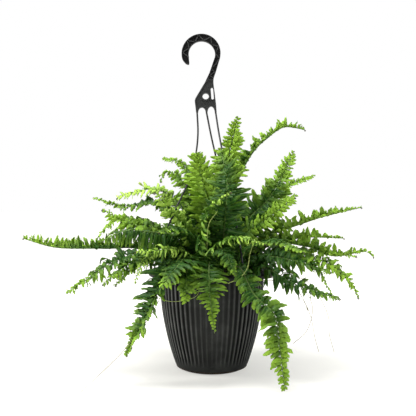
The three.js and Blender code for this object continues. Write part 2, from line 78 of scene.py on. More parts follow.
def square_to(vectors: Array, axes: Array) -> Array:
    """The part of each vector that is square to its axis, at length 1."""
    return unit(vectors - np.sum(vectors * axes, axis=-1, keepdims=True) * axes)


def rotated(first: Array, second: Array, angle: Array) -> tuple[Array, Array]:
    """Turns pairs of directions that are square to one another, in their own plane.

    Args:
        first: The directions that are turned towards the second ones.
        second: The directions a quarter turn on.
        angle: The angle of each pair.

    Returns:
        The turned pairs.
    """
    cosine, sine = np.cos(angle)[..., None], np.sin(angle)[..., None]
    return first * cosine + second * sine, second * cosine - first * sine


class Line:
    """A smooth line through points, read by the distance from its first point."""

    NUDGE = 1e-3

    def __init__(self, points: Array) -> None:
        """Fits the line.

        Args:
            points: The points that the line passes through, in order.
        """
        self.points = np.asarray(points, float)
        steps = np.linalg.norm(np.diff(self.points, axis=0), axis=1)
        self.marks = np.concatenate([[0.0], np.cumsum(steps)])
        self.slopes = np.gradient(self.points, self.marks, axis=0)
        self.length = float(self.marks[-1])

    def _span(self, distance: Array) -> tuple[Array, Array, Array]:
        """Finds the span between two points that each distance falls in.

        Args:
            distance: Distances from the first point.

        Returns:
            The number of each span, its length, and the share of it that is passed.
        """
        distance = np.atleast_1d(distance)
        index = np.clip(np.searchsorted(self.marks, distance) - 1, 0, len(self.marks) - 2)
        length = (self.marks[index + 1] - self.marks[index])[:, None]
        return index, length, (distance[:, None] - self.marks[index][:, None]) / length

    def at(self, distance: Array) -> Array:
        """Finds points of the line.

        Args:
            distance: Their distances from the first point.

        Returns:
            The points.
        """
        i, length, t = self._span(distance)
        start, end = self.points[i], self.points[i + 1]
        leave, arrive = self.slopes[i] * length, self.slopes[i + 1] * length
        return (
            (2 * t**3 - 3 * t**2 + 1) * start
            + (t**3 - 2 * t**2 + t) * leave
            + (3 * t**2 - 2 * t**3) * end
            + (t**3 - t**2) * arrive
        )

    def tangent(self, distance: Array) -> Array:
        """Finds the way that the line runs.

        Args:
            distance: Distances from the first point.

        Returns:
            The line's direction at each of them, at length 1.
        """
        small = self.NUDGE * self.length
        low = np.clip(distance - small, 0, self.length)
        high = np.clip(distance + small, 0, self.length)
        return unit(self.at(high) - self.at(low))

    def read(self, values: Array, distance: Array) -> Array:
        """Values that are known at the line's points, read at the given distances."""
        columns = [np.interp(distance, self.marks, column) for column in np.atleast_2d(values.T)]
        return np.stack(columns, axis=-1)


# ---- Shading --------------------------------------------------------------------------------------


def opaque(colour: Colour, light: float = 1.0) -> tuple[float, float, float, float]:
    """A colour as a socket takes it, with each part multiplied by the light."""
    return (*(light * part for part in colour), 1.0)


class Shade:
    """A socket of a node graph that takes part in sums."""

    def __init__(self, graph: "Graph", socket: bpy.types.NodeSocket) -> None:
        """Wraps the socket of that graph."""
        self.graph = graph
        self.socket = socket

    def _sum(self, operation: str, *terms: "Shade | float") -> "Shade":
        """A Math node over the terms."""
        return self.graph.node("ShaderNodeMath", {"operation": operation}, dict(enumerate(terms)))

    def __add__(self, other: "Shade | float") -> "Shade":
        """Self plus other."""
        return self._sum("ADD", self, other)

    __radd__ = __add__

    def __sub__(self, other: "Shade | float") -> "Shade":
        """Self less other."""
        return self._sum("SUBTRACT", self, other)

    def __rsub__(self, other: "Shade | float") -> "Shade":
        """Other less self."""
        return self._sum("SUBTRACT", other, self)

    def __mul__(self, other: "Shade | float") -> "Shade":
        """Self times other."""
        return self._sum("MULTIPLY", self, other)

    __rmul__ = __mul__

    def __abs__(self) -> "Shade":
        """Self without its sign."""
        return self._sum("ABSOLUTE", self)

    def step(self, low: float, high: float) -> "Shade":
        """Rises smoothly from 0 at low to 1 at high, or falls if high is less than low."""
        settings = {"interpolation_type": "SMOOTHSTEP"}
        return self.graph.node("ShaderNodeMapRange", settings, {"Value": self, 1: low, 2: high})

    def sine(self) -> "Shade":
        """The sine of self."""
        return self._sum("SINE", self)


class Graph:
    """The node graph of one material or of the world."""

    def __init__(self, tree: bpy.types.NodeTree) -> None:
        """Takes over the tree and empties it."""
        self.tree = tree
        tree.nodes.clear()

    @classmethod
    def of_material(cls, name: str) -> tuple["Graph", bpy.types.Material]:
        """Makes a new material.

        Args:
            name: Its name.

        Returns:
            Its emptied graph and the material.
        """
        material = bpy.data.materials.new(name)
        material.use_nodes = True
        return cls(material.node_tree), material

    def node(
        self,
        kind: str,
        settings: dict[str, object] | None = None,
        inputs: dict[str | int, object] | None = None,
        output: str | int = 0,
    ) -> Shade:
        """Adds a node.

        Args:
            kind: The node's type.
            settings: Its properties, such as a Math node's operation, which are set first.
            inputs: A value or a Shade for each socket, by name or number.
            output: The output that is handed back, by name or number.

        Returns:
            The chosen output.
        """
        node = self.tree.nodes.new(kind)
        for key, value in (settings or {}).items():
            setattr(node, key, value)
        for key, value in (inputs or {}).items():
            if isinstance(value, Shade):
                self.tree.links.new(value.socket, node.inputs[key])
            else:
                node.inputs[key].default_value = value
        return Shade(self, node.outputs[output] if node.outputs else None)

    def blend(self, share: Shade, low: Shade | Colour, high: Shade | Colour) -> Shade:
        """Mixes two colours.

        Args:
            share: How far the mix is from low, 0, to high, 1.
            low: The first colour.
            high: The second colour.

        Returns:
            The mixed colour.
        """
        ends = [end if isinstance(end, Shade) else opaque(end) for end in (low, high)]
        inputs = {0: share, 6: ends[0], 7: ends[1]}
        return self.node("ShaderNodeMix", {"data_type": "RGBA"}, inputs, output=2)

    def place(self) -> Shade:
        """The place on the piece, in metres."""
        return self.node("ShaderNodeTexCoord", output="Object")

    def noise(self, size: float, detail: float) -> Shade:
        """Cloudy noise whose lumps are about that size, in metres."""
        inputs = {"Vector": self.place(), "Scale": 1.0 / size, "Detail": detail}
        return self.node("ShaderNodeTexNoise", None, inputs)

    def attribute(self, name: str) -> Shade:
        """The number that the mesh holds under that name."""
        return self.node("ShaderNodeAttribute", {"attribute_name": name}, output="Fac")

    def bump(self, height: Shade, depth: float) -> Shade:
        """The surface's normal under a relief of that depth, in metres."""
        return self.node("ShaderNodeBump", None, {"Distance": depth, "Height": height})

    def surface(self, shader: Shade) -> None:
        """Makes the shader the material's surface."""
        self.node("ShaderNodeOutputMaterial", None, {"Surface": shader})


@dataclass(frozen=True)
class PlasticFinish:
    """Moulded plastic with a fine grain, worn lighter here and there, with painted highlights where the
    mesh's tone says.
    """

    name: str
    colour: Colour
    wear_and_highlight: Colour
    roughness: float
    gloss: float
    grain: float
    grain_depth: float

    WEAR_SIZE = 28 * MM
    SPECK_SIZE = 1.1 * MM

    def build(self) -> bpy.types.Material:
        """Builds the material. The mesh's tone says where it has painted highlights and painted shade.

        Returns:
            The material.
        """
        graph, material = Graph.of_material(self.name)
        wear = graph.noise(self.WEAR_SIZE, 5.0).step(0.45, 0.75)
        speck = graph.noise(self.SPECK_SIZE, 2.0)
        # Lighter by random wear, and by the mesh's tone, which paints highlights on rib tops and braces and
        # shade in grooves.
        wear_and_highlight = (wear * 0.3 + speck * 0.3 + 0.4) * graph.attribute("tone")
        colour = graph.blend(wear_and_highlight, self.colour, self.wear_and_highlight)
        relief = graph.noise(self.grain, 2.0)
        inputs = {
            "Base Color": colour,
            "Roughness": self.roughness + wear * 0.08 - speck * 0.06,
            "Specular IOR Level": self.gloss,
            "Normal": graph.bump(relief, self.grain_depth),
        }
        graph.surface(graph.node("ShaderNodeBsdfPrincipled", None, inputs))
        return material


@dataclass(frozen=True)
class LeafFinish:
    """A leaf's face: its greens, its veins and the light that it lets through.

    The mesh gives each point its age and tone from 0 to 1, and its UV map holds the distance along
    the leaflet in centimetres and the place across it from -1 to 1.
    """

    name: str
    young: Colour
    old: Colour
    vein: Colour
    glow: Colour
    glow_share: float
    roughness: float
    gloss: float
    vein_depth: float

    MOTTLE_SIZE = 5 * MM
    VEINS = 24.0
    VEIN_SLANT = 5.0

    def build(self) -> bpy.types.Material:
        """Builds the material.

        Returns:
            The material.
        """
        graph, material = Graph.of_material(self.name)
        uv = graph.node("ShaderNodeUVMap", {"uv_map": "leaf"})
        along = graph.node("ShaderNodeSeparateXYZ", None, {0: uv}, output="X")
        across = graph.node("ShaderNodeSeparateXYZ", None, {0: uv}, output="Y")
        from_midvein = abs(across)
        midvein = from_midvein.step(0.16, 0.02)
        slant = along * self.VEINS - from_midvein * self.VEIN_SLANT
        side_veins = slant.sine().step(0.55, 1.0) * from_midvein.step(0.06, 0.3)
        mottle = graph.noise(self.MOTTLE_SIZE, 4.0)
        tone = graph.attribute("tone")
        # The mesh's age is partly real ageing and partly painted shade towards the crown.
        ageing = graph.attribute("age") + (mottle - 0.5) * 0.35 + (tone - 0.5) * 0.4
        green = graph.blend(ageing.step(0.0, 1.0), self.young, self.old)
        # Lighter towards the leaflets' edges: a painted glow of light through the thin edges.
        edge = from_midvein.step(0.72, 1.0) * 0.22
        green = graph.blend(edge, green, self.young)
        veined = graph.blend(midvein * 0.5 + side_veins * 0.14, green, self.vein)
        relief = mottle * 0.35 - midvein * 0.9 - side_veins * 0.45
        inputs = {
            "Base Color": veined,
            "Roughness": self.roughness + mottle * 0.14 - tone * 0.08,
            "Specular IOR Level": self.gloss,
            "Normal": graph.bump(relief, self.vein_depth),
        }
        skin = graph.node("ShaderNodeBsdfPrincipled", None, inputs)
        shine = graph.node("ShaderNodeBsdfTranslucent", None, {"Color": opaque(self.glow)})
        factor = {0: self.glow_share, 1: skin, 2: shine}
        graph.surface(graph.node("ShaderNodeMixShader", None, factor))
        return material


@dataclass(frozen=True)
class StalkFinish:
    """A midrib, a stem or a runner, browner where its age says so."""

    name: str
    fresh: Colour
    brown: Colour
    roughness: float

    STREAK_SIZE = 2.4 * MM
    STREAK_DEPTH = 0.15 * MM

    def build(self) -> bpy.types.Material:
        """Builds the material.

        Returns:
            The material.
        """
        graph, material = Graph.of_material(self.name)
        streaks = graph.noise(self.STREAK_SIZE, 4.0)
        browned = (graph.attribute("age") + (streaks - 0.5) * 0.7).step(0.25, 0.95)
        inputs = {
            "Base Color": graph.blend(browned, self.fresh, self.brown),
            "Roughness": self.roughness + streaks * 0.15,
            "Normal": graph.bump(streaks, self.STREAK_DEPTH),
        }
        graph.surface(graph.node("ShaderNodeBsdfPrincipled", None, inputs))
        return material


@dataclass(frozen=True)
class PeatFinish:
    """Moist potting soil of peat, bark and fibre."""

    name: str
    dark: Colour
    dry: Colour

    LUMP_SIZE = 7 * MM
    FIBRE_SIZE = 1.3 * MM
    RELIEF_DEPTH = 1.4 * MM

    def build(self) -> bpy.types.Material:
        """Builds the material.

        Returns:
            The material.
        """
        graph, material = Graph.of_material(self.name)
        lumps = graph.noise(self.LUMP_SIZE, 8.0)
        fibre = graph.noise(self.FIBRE_SIZE, 6.0)
        dryness = (lumps * 0.6 + fibre * 0.5).step(0.42, 0.72)
        inputs = {
            "Base Color": graph.blend(dryness, self.dark, self.dry),
            "Roughness": 0.82 + fibre * 0.16,
            "Normal": graph.bump(lumps + fibre * 0.5, self.RELIEF_DEPTH),
        }
        graph.surface(graph.node("ShaderNodeBsdfPrincipled", None, inputs))
        return material


@dataclass(frozen=True)
class FloorFinish:
    """A table top so bright that it shows only the shade close to the pot.

    Seen by the camera it gives light of its own, by how far a point is from the pot's middle: near
    by, further off and at the edge of the picture. It reflects less of the lamps' light there.
    """

    name: str
    colour: Colour
    roughness: float
    light: tuple[float, float, float]
    reach: tuple[float, float, float]
    seen_share: float

    def build(self) -> bpy.types.Material:
        """Builds the material.

        Returns:
            The material.
        """
        graph, material = Graph.of_material(self.name)
        inputs = {"Base Color": opaque(self.colour), "Roughness": self.roughness}
        plain = graph.node("ShaderNodeBsdfPrincipled", None, inputs)
        measure = {"operation": "LENGTH"}
        distance = graph.node("ShaderNodeVectorMath", measure, {0: graph.place()}, output="Value")
        near, far, edge = (tuple(light * part for part in self.colour) for light in self.light)
        glow = graph.blend(distance.step(*self.reach[:2]), near, far)
        glow = graph.blend(distance.step(*self.reach[1:]), glow, edge)
        inputs = {
            "Base Color": opaque(self.colour, self.seen_share),
            "Roughness": self.roughness,
            "Emission Color": glow,
            "Emission Strength": 1.0,
        }
        bright = graph.node("ShaderNodeBsdfPrincipled", None, inputs)
        by_camera = graph.node("ShaderNodeLightPath", output="Is Camera Ray")
        graph.surface(graph.node("ShaderNodeMixShader", None, {0: by_camera, 1: plain, 2: bright}))
        return material


Finish = PlasticFinish | LeafFinish | StalkFinish | PeatFinish | FloorFinish

# Its light colour comes through wear and through painted highlights on the ribs' tops.
POT_PLASTIC = PlasticFinish(
    "pot_plastic",
    colour=(0.0008, 0.0009, 0.0009),
    wear_and_highlight=(0.16, 0.166, 0.16),
    roughness=0.5,
    gloss=0.03,
    grain=0.7 * MM,
    grain_depth=0.05 * MM,
)
# Its light colour is painted glint on the braces' tops, and wear.
HANGER_PLASTIC = PlasticFinish(
    "hanger_plastic",
    colour=(0.004, 0.004, 0.0045),
    wear_and_highlight=(0.085, 0.088, 0.088),
    roughness=0.4,
    gloss=0.4,
    grain=0.5 * MM,
    grain_depth=0.02 * MM,
)
PEAT = PeatFinish("potting_soil", dark=(0.012, 0.007, 0.004), dry=(0.07, 0.042, 0.024))
MATURE_LEAF = LeafFinish(
    "leaf_mature",
    young=(0.29, 0.50, 0.035),
    old=(0.007, 0.052, 0.003),
    vein=(0.15, 0.31, 0.03),
    glow=(0.30, 0.55, 0.02),
    glow_share=0.15,
    roughness=0.46,
    gloss=0.22,
    vein_depth=0.22 * MM,
)
YOUNG_LEAF = LeafFinish(
    "leaf_young",
    young=(0.50, 0.74, 0.10),
    old=(0.11, 0.27, 0.02),
    vein=(0.42, 0.60, 0.14),
    glow=(0.52, 0.80, 0.08),
    glow_share=0.26,
    roughness=0.46,
    gloss=0.3,
    vein_depth=0.16 * MM,
)
LEAF_UNDERSIDE = LeafFinish(
    "leaf_underside",
    young=(0.25, 0.43, 0.045),
    old=(0.018, 0.088, 0.008),
    vein=(0.22, 0.34, 0.09),
    glow=(0.32, 0.56, 0.03),
    glow_share=0.18,
    roughness=0.62,
    gloss=0.15,
    vein_depth=-0.2 * MM,
)
STALK = StalkFinish("frond_stalk", fresh=(0.10, 0.19, 0.022), brown=(0.05, 0.03, 0.012), roughness=0.5)
RUNNER_STALK = StalkFinish("runner_stalk", fresh=(0.36, 0.46, 0.10), brown=(0.26, 0.21, 0.12), roughness=0.45)
TABLE_TOP = FloorFinish(
    "table_top",
    colour=(0.97, 0.96, 0.92),
    roughness=0.7,
    light=(0.52, 0.7, 0.98),
    reach=(70 * MM, 280 * MM, 1200 * MM),
    seen_share=0.42,
)


class Finishes:
    """Builds each finish once and hands it out again."""

    def __init__(self) -> None:
        """Starts with none built."""
        self._built: dict[str, bpy.types.Material] = {}

    def __getitem__(self, finish: Finish) -> bpy.types.Material:
        """Builds the finish's material at its first use.

        Args:
            finish: The finish that is wanted.

        Returns:
            Its material.
        """
        if finish.name not in self._built:
            self._built[finish.name] = finish.build()
        return self._built[finish.name]


FINISHES = Finishes()


# ---- Meshes ---------------------------------------------------------------------------------------


@dataclass
class Fabric:
    """Vertices and faces that are gathered before they become a mesh."""

    vertices: list[Array] = field(default_factory=list)
    faces: list[Array] = field(default_factory=list)
    slots: list[Array] = field(default_factory=list)
    values: dict[str, list[Array]] = field(default_factory=lambda: {"age": [], "tone": []})
    uvs: list[Array] = field(default_factory=list)
    count: int = 0

    def add(
        self,
        vertices: Array,
        faces: Array,
        slots: Array | int = 0,
        age: Array | float = 0.0,
        tone: Array | float = 0.5,
        uv: Array | None = None,
    ) -> None:
        """Adds a part.

        Args:
            vertices: Its points.
            faces: Its quads, by vertex number within the part. A triangle repeats its last vertex.
            slots: The material slot of each face.
            age: The age of each point, from 0, young, to 1.
            tone: The tone of each point, from 0 to 1.
            uv: The UV place of each point.
        """
        total = len(vertices)
        self.vertices.append(vertices)
        self.faces.append(faces + self.count)
        self.slots.append(np.broadcast_to(slots, len(faces)))
        self.values["age"].append(np.broadcast_to(age, total))
        self.values["tone"].append(np.broadcast_to(tone, total))
        self.uvs.append(np.zeros((total, 2)) if uv is None else uv)
        self.count += total

    def piece(self, name: str, finishes: Iterable[Finish]) -> bpy.types.Object:
        """Makes the mesh and its object.

        Args:
            name: The piece's name.
            finishes: The finish of each material slot.

        Returns:
            The object.
        """
        vertices = np.concatenate(self.vertices)
        quads = np.concatenate(self.faces)
        corners = [quad[:3] if quad[2] == quad[3] else quad for quad in quads.tolist()]
        mesh = bpy.data.meshes.new(name)
        mesh.from_pydata(vertices.tolist(), [], corners)
        mesh.polygons.foreach_set("material_index", np.concatenate(self.slots).astype(np.int32))
        mesh.polygons.foreach_set("use_smooth", np.ones(len(corners), bool))
        for key, parts in self.values.items():
            layer = mesh.attributes.new(key, "FLOAT", "POINT")
            layer.data.foreach_set("value", np.concatenate(parts).astype(np.float32))
        loops = np.zeros(len(mesh.loops), np.int32)
        mesh.loops.foreach_get("vertex_index", loops)
        uv_map = mesh.uv_layers.new(name="leaf")
        uv_map.data.foreach_set("uv", np.concatenate(self.uvs)[loops].astype(np.float32).ravel())
        for finish in finishes:
            mesh.materials.append(FINISHES[finish])
        mesh.update()
        thing = bpy.data.objects.new(name, mesh)
        bpy.context.scene.collection.objects.link(thing)
        return thing


def grid_faces(rows: int, columns: int) -> Array:
    """Joins rings of vertices, one row after the other, with quads.

    Args:
        rows: The number of rings.
        columns: The number of vertices in a ring, whose last is joined to its first.

    Returns:
        The quads, by vertex number.
    """
    i, j = np.meshgrid(np.arange(rows - 1), np.arange(columns), indexing="ij")
    i, j = i.ravel(), j.ravel()
    after = (j + 1) % columns
    low, high = i * columns, (i + 1) * columns
    return np.stack([low + j, low + after, high + after, high + j], 1)


def capped_faces(rows: int, columns: int) -> Array:
    """Joins rings of vertices and closes them at both ends.

    Args:
        rows: The number of rings.
        columns: The number of vertices in a ring.

    Returns:
        The faces. The middles of the first and the last ring are numbered after all the rings.
    """
    total = rows * columns
    top = total - columns
    j = np.arange(columns)
    after = (j + 1) % columns
    first = np.stack([np.full(columns, total), after, j, j], 1)
    last = np.stack([np.full(columns, total + 1), top + j, top + after, top + after], 1)
    return np.concatenate([grid_faces(rows, columns), first, last])


def repeated_faces(faces: Array, copies: int, points: int) -> Array:
    """Repeats the faces of a shape for copies of it that follow one another.

    Args:
        faces: The faces of one copy.
        copies: The number of copies.
        points: The number of vertices in each.

    Returns:
        The faces of all the copies.
    """
    offsets = (np.arange(copies) * points)[:, None, None]
    return (faces[None] + offsets).reshape(-1, faces.shape[1])


def upright_frames(count: int) -> tuple[Array, Array]:
    """The sides and normals of that many rings round an upright line."""
    return np.tile([1.0, 0.0, 0.0], (count, 1)), np.tile([0.0, 1.0, 0.0], (count, 1))


def add_tube(
    fabric: Fabric,
    centres: Array,
    sides: Array,
    normals: Array,
    radii: Array,
    corners: int = 8,
    groove: float = 0.0,
    **marks: object,
) -> None:
    """Adds a closed tube.

    Args:
        fabric: What it is added to.
        centres: The middles of its rings.
        sides: The direction of each ring's first corner.
        normals: The direction a quarter turn on, square to the side and to the way the tube runs.
        radii: The radius of each ring.
        corners: The corners of a ring.
        groove: The depth of a groove along the normal's side, as a share of the radius.
        marks: The slot, age and tone that Fabric.add takes, the last two with a value for each ring.
    """
    turn = np.linspace(0, 2 * math.pi, corners, endpoint=False)
    dip = 1 - groove * np.exp(-(((turn - math.pi / 2) / 0.5) ** 2))
    ring = (
        np.cos(turn)[None, :, None] * sides[:, None, :] + np.sin(turn)[None, :, None] * normals[:, None, :]
    ) * dip[None, :, None]
    vertices = centres[:, None, :] + ring * radii[:, None, None]
    points = np.concatenate([vertices.reshape(-1, 3), centres[:1], centres[-1:]])
    for key in ("age", "tone"):
        if isinstance(marks.get(key), np.ndarray):
            values = np.repeat(marks[key], corners)
            marks[key] = np.concatenate([values, values[:1], values[-1:]])
    fabric.add(points, capped_faces(len(centres), corners), **marks)


def carried_frames(tangents: Array, first_side: Array) -> tuple[Array, Array]:
    """Carries a side along a line without twist.

    Args:
        tangents: The line's directions.
        first_side: About where the first side points.

    Returns:
        The sides, and the normals square to them and to the line.
    """
    side = square_to(first_side, tangents[0])
    sides = []
    for tangent in tangents:
        side = square_to(side, tangent)
        sides.append(side)
    return np.array(sides), np.cross(tangents, np.array(sides))


def add_wire(fabric: Fabric, line: Line, radii: Array, **marks: object) -> None:
    """Adds a round tube along a line.

    Args:
        fabric: What it is added to.
        line: The line.
        radii: The tube's radius at even steps along the line.
        marks: What add_tube takes besides.
    """
    distance = np.linspace(0, 1, len(radii)) * line.length
    sides, normals = carried_frames(line.tangent(distance), np.array([0.31, -0.9, 0.2]))
    add_tube(fabric, line.at(distance), sides, normals, radii, **marks)


def settle(piece: bpy.types.Object) -> None:
    """Applies the piece's modifiers to its mesh.

    Args:
        piece: The piece.
    """
    bpy.context.view_layer.update()
    evaluated = piece.evaluated_get(bpy.context.evaluated_depsgraph_get())
    mesh = bpy.data.meshes.new_from_object(evaluated)
    piece.modifiers.clear()
    piece.data = mesh


def cut(piece: bpy.types.Object, cutters: list[bpy.types.Object], operation: str = "DIFFERENCE") -> None:
    """Cuts the cutters out of a piece, or joins them to it, and removes them.

    Args:
        piece: The piece.
        cutters: The cutters.
        operation: What the boolean modifiers do.
    """
    for cutter in cutters:
        change = piece.modifiers.new("cut", "BOOLEAN")
        change.object = cutter
        change.operation = operation
        change.solver = "MANIFOLD"
    settle(piece)
    for cutter in cutters:
        bpy.data.objects.remove(cutter)


def prism(outline: Array, low: float, high: float, name: str = "cutter") -> bpy.types.Object:
    """Extrudes an outline along Y.

    Args:
        outline: Its points in X and Z.
        low: Where it starts in Y.
        high: Where it ends in Y.
        name: The object's name.

    Returns:
        The object.
    """
    count = len(outline)
    shape = bmesh.new()
    near = [shape.verts.new((x, low, z)) for x, z in outline]
    far = [shape.verts.new((x, high, z)) for x, z in outline]
    shape.faces.new(near)
    shape.faces.new(far[::-1])
    for k in range(count):
        after = (k + 1) % count
        shape.faces.new((near[after], near[k], far[k], far[after]))
    bmesh.ops.recalc_face_normals(shape, faces=shape.faces)
    mesh = bpy.data.meshes.new(name)
    shape.to_mesh(mesh)
    shape.free()
    thing = bpy.data.objects.new(name, mesh)
    bpy.context.scene.collection.objects.link(thing)
    return thing


def slab(outline: Array, one: float, other: float) -> bpy.types.Object:
    """A prism between two places in Y, in either order."""
    return prism(outline, min(one, other), max(one, other))


def post(radius: float, low: float, high: float, place: Range, corners: int) -> bpy.types.Object:
    """Makes an upright round cutter.

    Args:
        radius: Its radius.
        low: The height of its foot.
        high: The height of its top.
        place: Where it stands, in X and Y.
        corners: The corners of its outline.

    Returns:
        The cutter.
    """
    fabric = Fabric()
    centres = np.array([[*place, low], [*place, high]])
    add_tube(fabric, centres, *upright_frames(2), np.full(2, radius), corners)
    return fabric.piece("cutter", [])


def dress(piece: bpy.types.Object, nodes: Iterable[str] = ()) -> None:
    """Puts a finished piece on the model.

    Args:
        piece: The piece, which rides on the root body.
        nodes: The nodes of the frame that it stands for.
    """
    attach(piece, "root")
    if nodes:
        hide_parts(*nodes)
    log.info("%s: %d faces", piece.name, len(piece.data.polygons))


# ---- Pot ------------------------------------------------------------------------------------------


@dataclass
class Pot:
    """The ribbed pot with its turned-down rim, drain holes and strand holes.

    Levels are heights in millimetres. The rim's section is given by steps up and outwards, in
    millimetres, from the corners that it follows.
    """

    height: float = 191 * MM
    mouth_radius: float = 103.5 * MM
    mouth_height: float = 179 * MM
    bulge: float = 0.00107 / MM
    base_tuck: float = 6.2 * MM
    foot_height: float = 14 * MM
    wall: float = 2.2 * MM
    floor: float = 3 * MM
    ribs: int = 60
    rib_depth: float = 1.9 * MM
    cad_rib_depth: float = 1.4 * MM
    rib_columns: int = 12
    rim_radius: float = 125 * MM
    rim_drop: float = 9 * MM
    rim_skin: float = 2.4 * MM
    rim_corner: float = 3.2 * MM
    drain_holes: int = 4
    drain_radius: float = 5 * MM
    drain_ring: float = 38 * MM
    strand_hole: float = 2.3 * MM

    FOOT_LEVELS = (0, 0.25, 0.7, 1.3, 2.2, 3.5, 5, 7, 9.5, 12)
    SIDE_LEVELS = (14, 184, 46)
    INSIDE_LEVELS = (180, 176, 150, 120, 90, 60, 30, 14)
    UNDER_RIM = ((-2, 0.1), (-0.3, 1), (-0.2, 4))
    UNDER_SKIRT = ((-0.4, -2.2), (-1.4, -0.9))
    EDGE_INSIDE = ((0.5, 0), (0, 0.5), (-0.1, 1.2))
    EDGE_OUTSIDE = ((0.4, -0.3), (1.2, 0), (2.2, -0.35), (4, -0.15))
    RIM_TOP = ((-0.1, -5), (-0.7, -6))
    RIM_BEAD = ((-0.8, 4.4), (-0.1, 3.2), (-0.1, 1), (-0.5, 0.25), (-1.3, 0))

    def wall_radius(self, z: Array | float) -> Array | float:
        """The outside of the wall at a height."""
        tuck = self.base_tuck * np.clip(1 - z / self.foot_height, 0, 1) ** 4.5
        return self.mouth_radius - self.bulge * (self.mouth_height - z) ** 2 - tuck

    def inside_radius(self, z: Array | float) -> Array | float:
        """The inside of the wall at a height."""
        return self.wall_radius(np.minimum(z, self.mouth_height)) - self.cad_rib_depth - self.wall

    def _rib_share(self, z: float) -> float:
        """How deep the grooves between the ribs are at a height, as a share of their full depth."""
        return float(smoothstep(z, 13 * MM, 30 * MM) * smoothstep(z, 186 * MM, 178 * MM))

    def _plain(self, level: float, radius: float, steps: tuple[Range, ...]) -> list[tuple[float, ...]]:
        """Points without ribs, at steps up and outwards from a corner."""
        return [(level + up * MM, radius + out * MM, 0) for up, out in steps]

    def _profile(self) -> list[tuple[float, ...]]:
        """Follows the section from the foot, round the rim, to the floor inside.

        Returns:
            The height, the radius and the ribs' share of each point.
        """
        heights = np.array([*self.FOOT_LEVELS, *np.linspace(*self.SIDE_LEVELS)]) * MM
        rows = [(z, self.wall_radius(z), self._rib_share(z)) for z in heights]
        top, corner = self.height, self.rim_corner
        under, edge = top - self.rim_skin, top - self.rim_drop
        skirt = self.rim_radius - self.rim_skin
        rows += self._plain(under, self.mouth_radius, self.UNDER_RIM)
        rows += self._plain(under, skirt, self.UNDER_SKIRT)
        rows += self._plain(edge, skirt, self.EDGE_INSIDE)
        rows += self._plain(edge, self.rim_radius, self.EDGE_OUTSIDE)
        for turn in np.linspace(0, math.pi / 2, 7):
            inward = corner * (1 - math.cos(turn))
            rows.append((top - corner + corner * math.sin(turn), self.rim_radius - inward, 0))
        rows += self._plain(top, self.rim_radius, self.RIM_TOP)
        rows += self._plain(top, self.inside_radius(top), self.RIM_BEAD)
        rows += [(z * MM, self.inside_radius(z * MM), 0) for z in self.INSIDE_LEVELS]
        rows += [(self.floor, self.inside_radius(self.foot_height) - self.floor, 0)]
        return rows

    def _tone(self, angle: Array, groove: Array, ribbed: Array) -> Array:
        """Paints the ribs' tops lighter and the grooves darker, as painted highlight and shade, most at the
        pot's sides.

        Args:
            angle: The angles of the columns of vertices.
            groove: How far each column lies in a groove, from 0 to 1.
            ribbed: The ribs' share in each row.

        Returns:
            The tone of each vertex, with those of the two middles at the end.
        """
        # Painted highlight and shade: the ribs show most at the pot's sides, where the light grazes them.
        sideways = smoothstep(np.abs(np.cos(angle)), 0.1, 0.75)
        contrast = 0.12 + 0.86 * sideways
        tone = (0.34 - 0.06 * sideways + (0.68 - groove) * contrast * ribbed).clip(0, 1)
        return np.concatenate([tone.ravel(), [0.3, 0.3]])

    def _holes(self, strand_feet: list[Range]) -> list[bpy.types.Object]:
        """Makes the cutters of the drain holes and of the strands' holes.

        Args:
            strand_feet: Where the strands go through the rim, in X and Y.

        Returns:
            The cutters.
        """
        turns = [math.radians(45 + 360 * k / self.drain_holes) for k in range(self.drain_holes)]
        drains = [(self.drain_ring * math.cos(turn), self.drain_ring * math.sin(turn)) for turn in turns]
        holes = [post(self.drain_radius, -2 * MM, self.floor + 2 * MM, place, 24) for place in drains]
        under = self.height - self.rim_drop
        return holes + [post(self.strand_hole, under, self.height + MM, foot, 16) for foot in strand_feet]

    def build(self, strand_feet: list[Range]) -> None:
        """Builds the pot.

        Args:
            strand_feet: Where its rim has a hole for a strand, in X and Y.
        """
        heights, radii, ribbed = np.array(self._profile(), float).T[:, :, None]
        columns = self.ribs * self.rib_columns
        angle = np.linspace(0, 2 * math.pi, columns, endpoint=False)[None, :]
        groove = smoothstep((1 - np.cos(angle * self.ribs)) / 2, 0.02, 0.6)
        radius = radii - self.rib_depth * groove * ribbed
        points = np.stack([radius * np.cos(angle), radius * np.sin(angle), heights + 0 * angle], -1)
        middles = [[0, 0, 0], [0, 0, self.floor]]
        fabric = Fabric()
        vertices = np.concatenate([points.reshape(-1, 3), middles])
        # The tone paints highlights on the ribs' tops and shade in the grooves.
        fabric.add(vertices, capped_faces(len(heights), columns), tone=self._tone(angle, groove, ribbed))
        pot = fabric.piece("ribbed_pot", [POT_PLASTIC])
        cut(pot, self._holes(strand_feet))
        dress(pot, ["pot"])


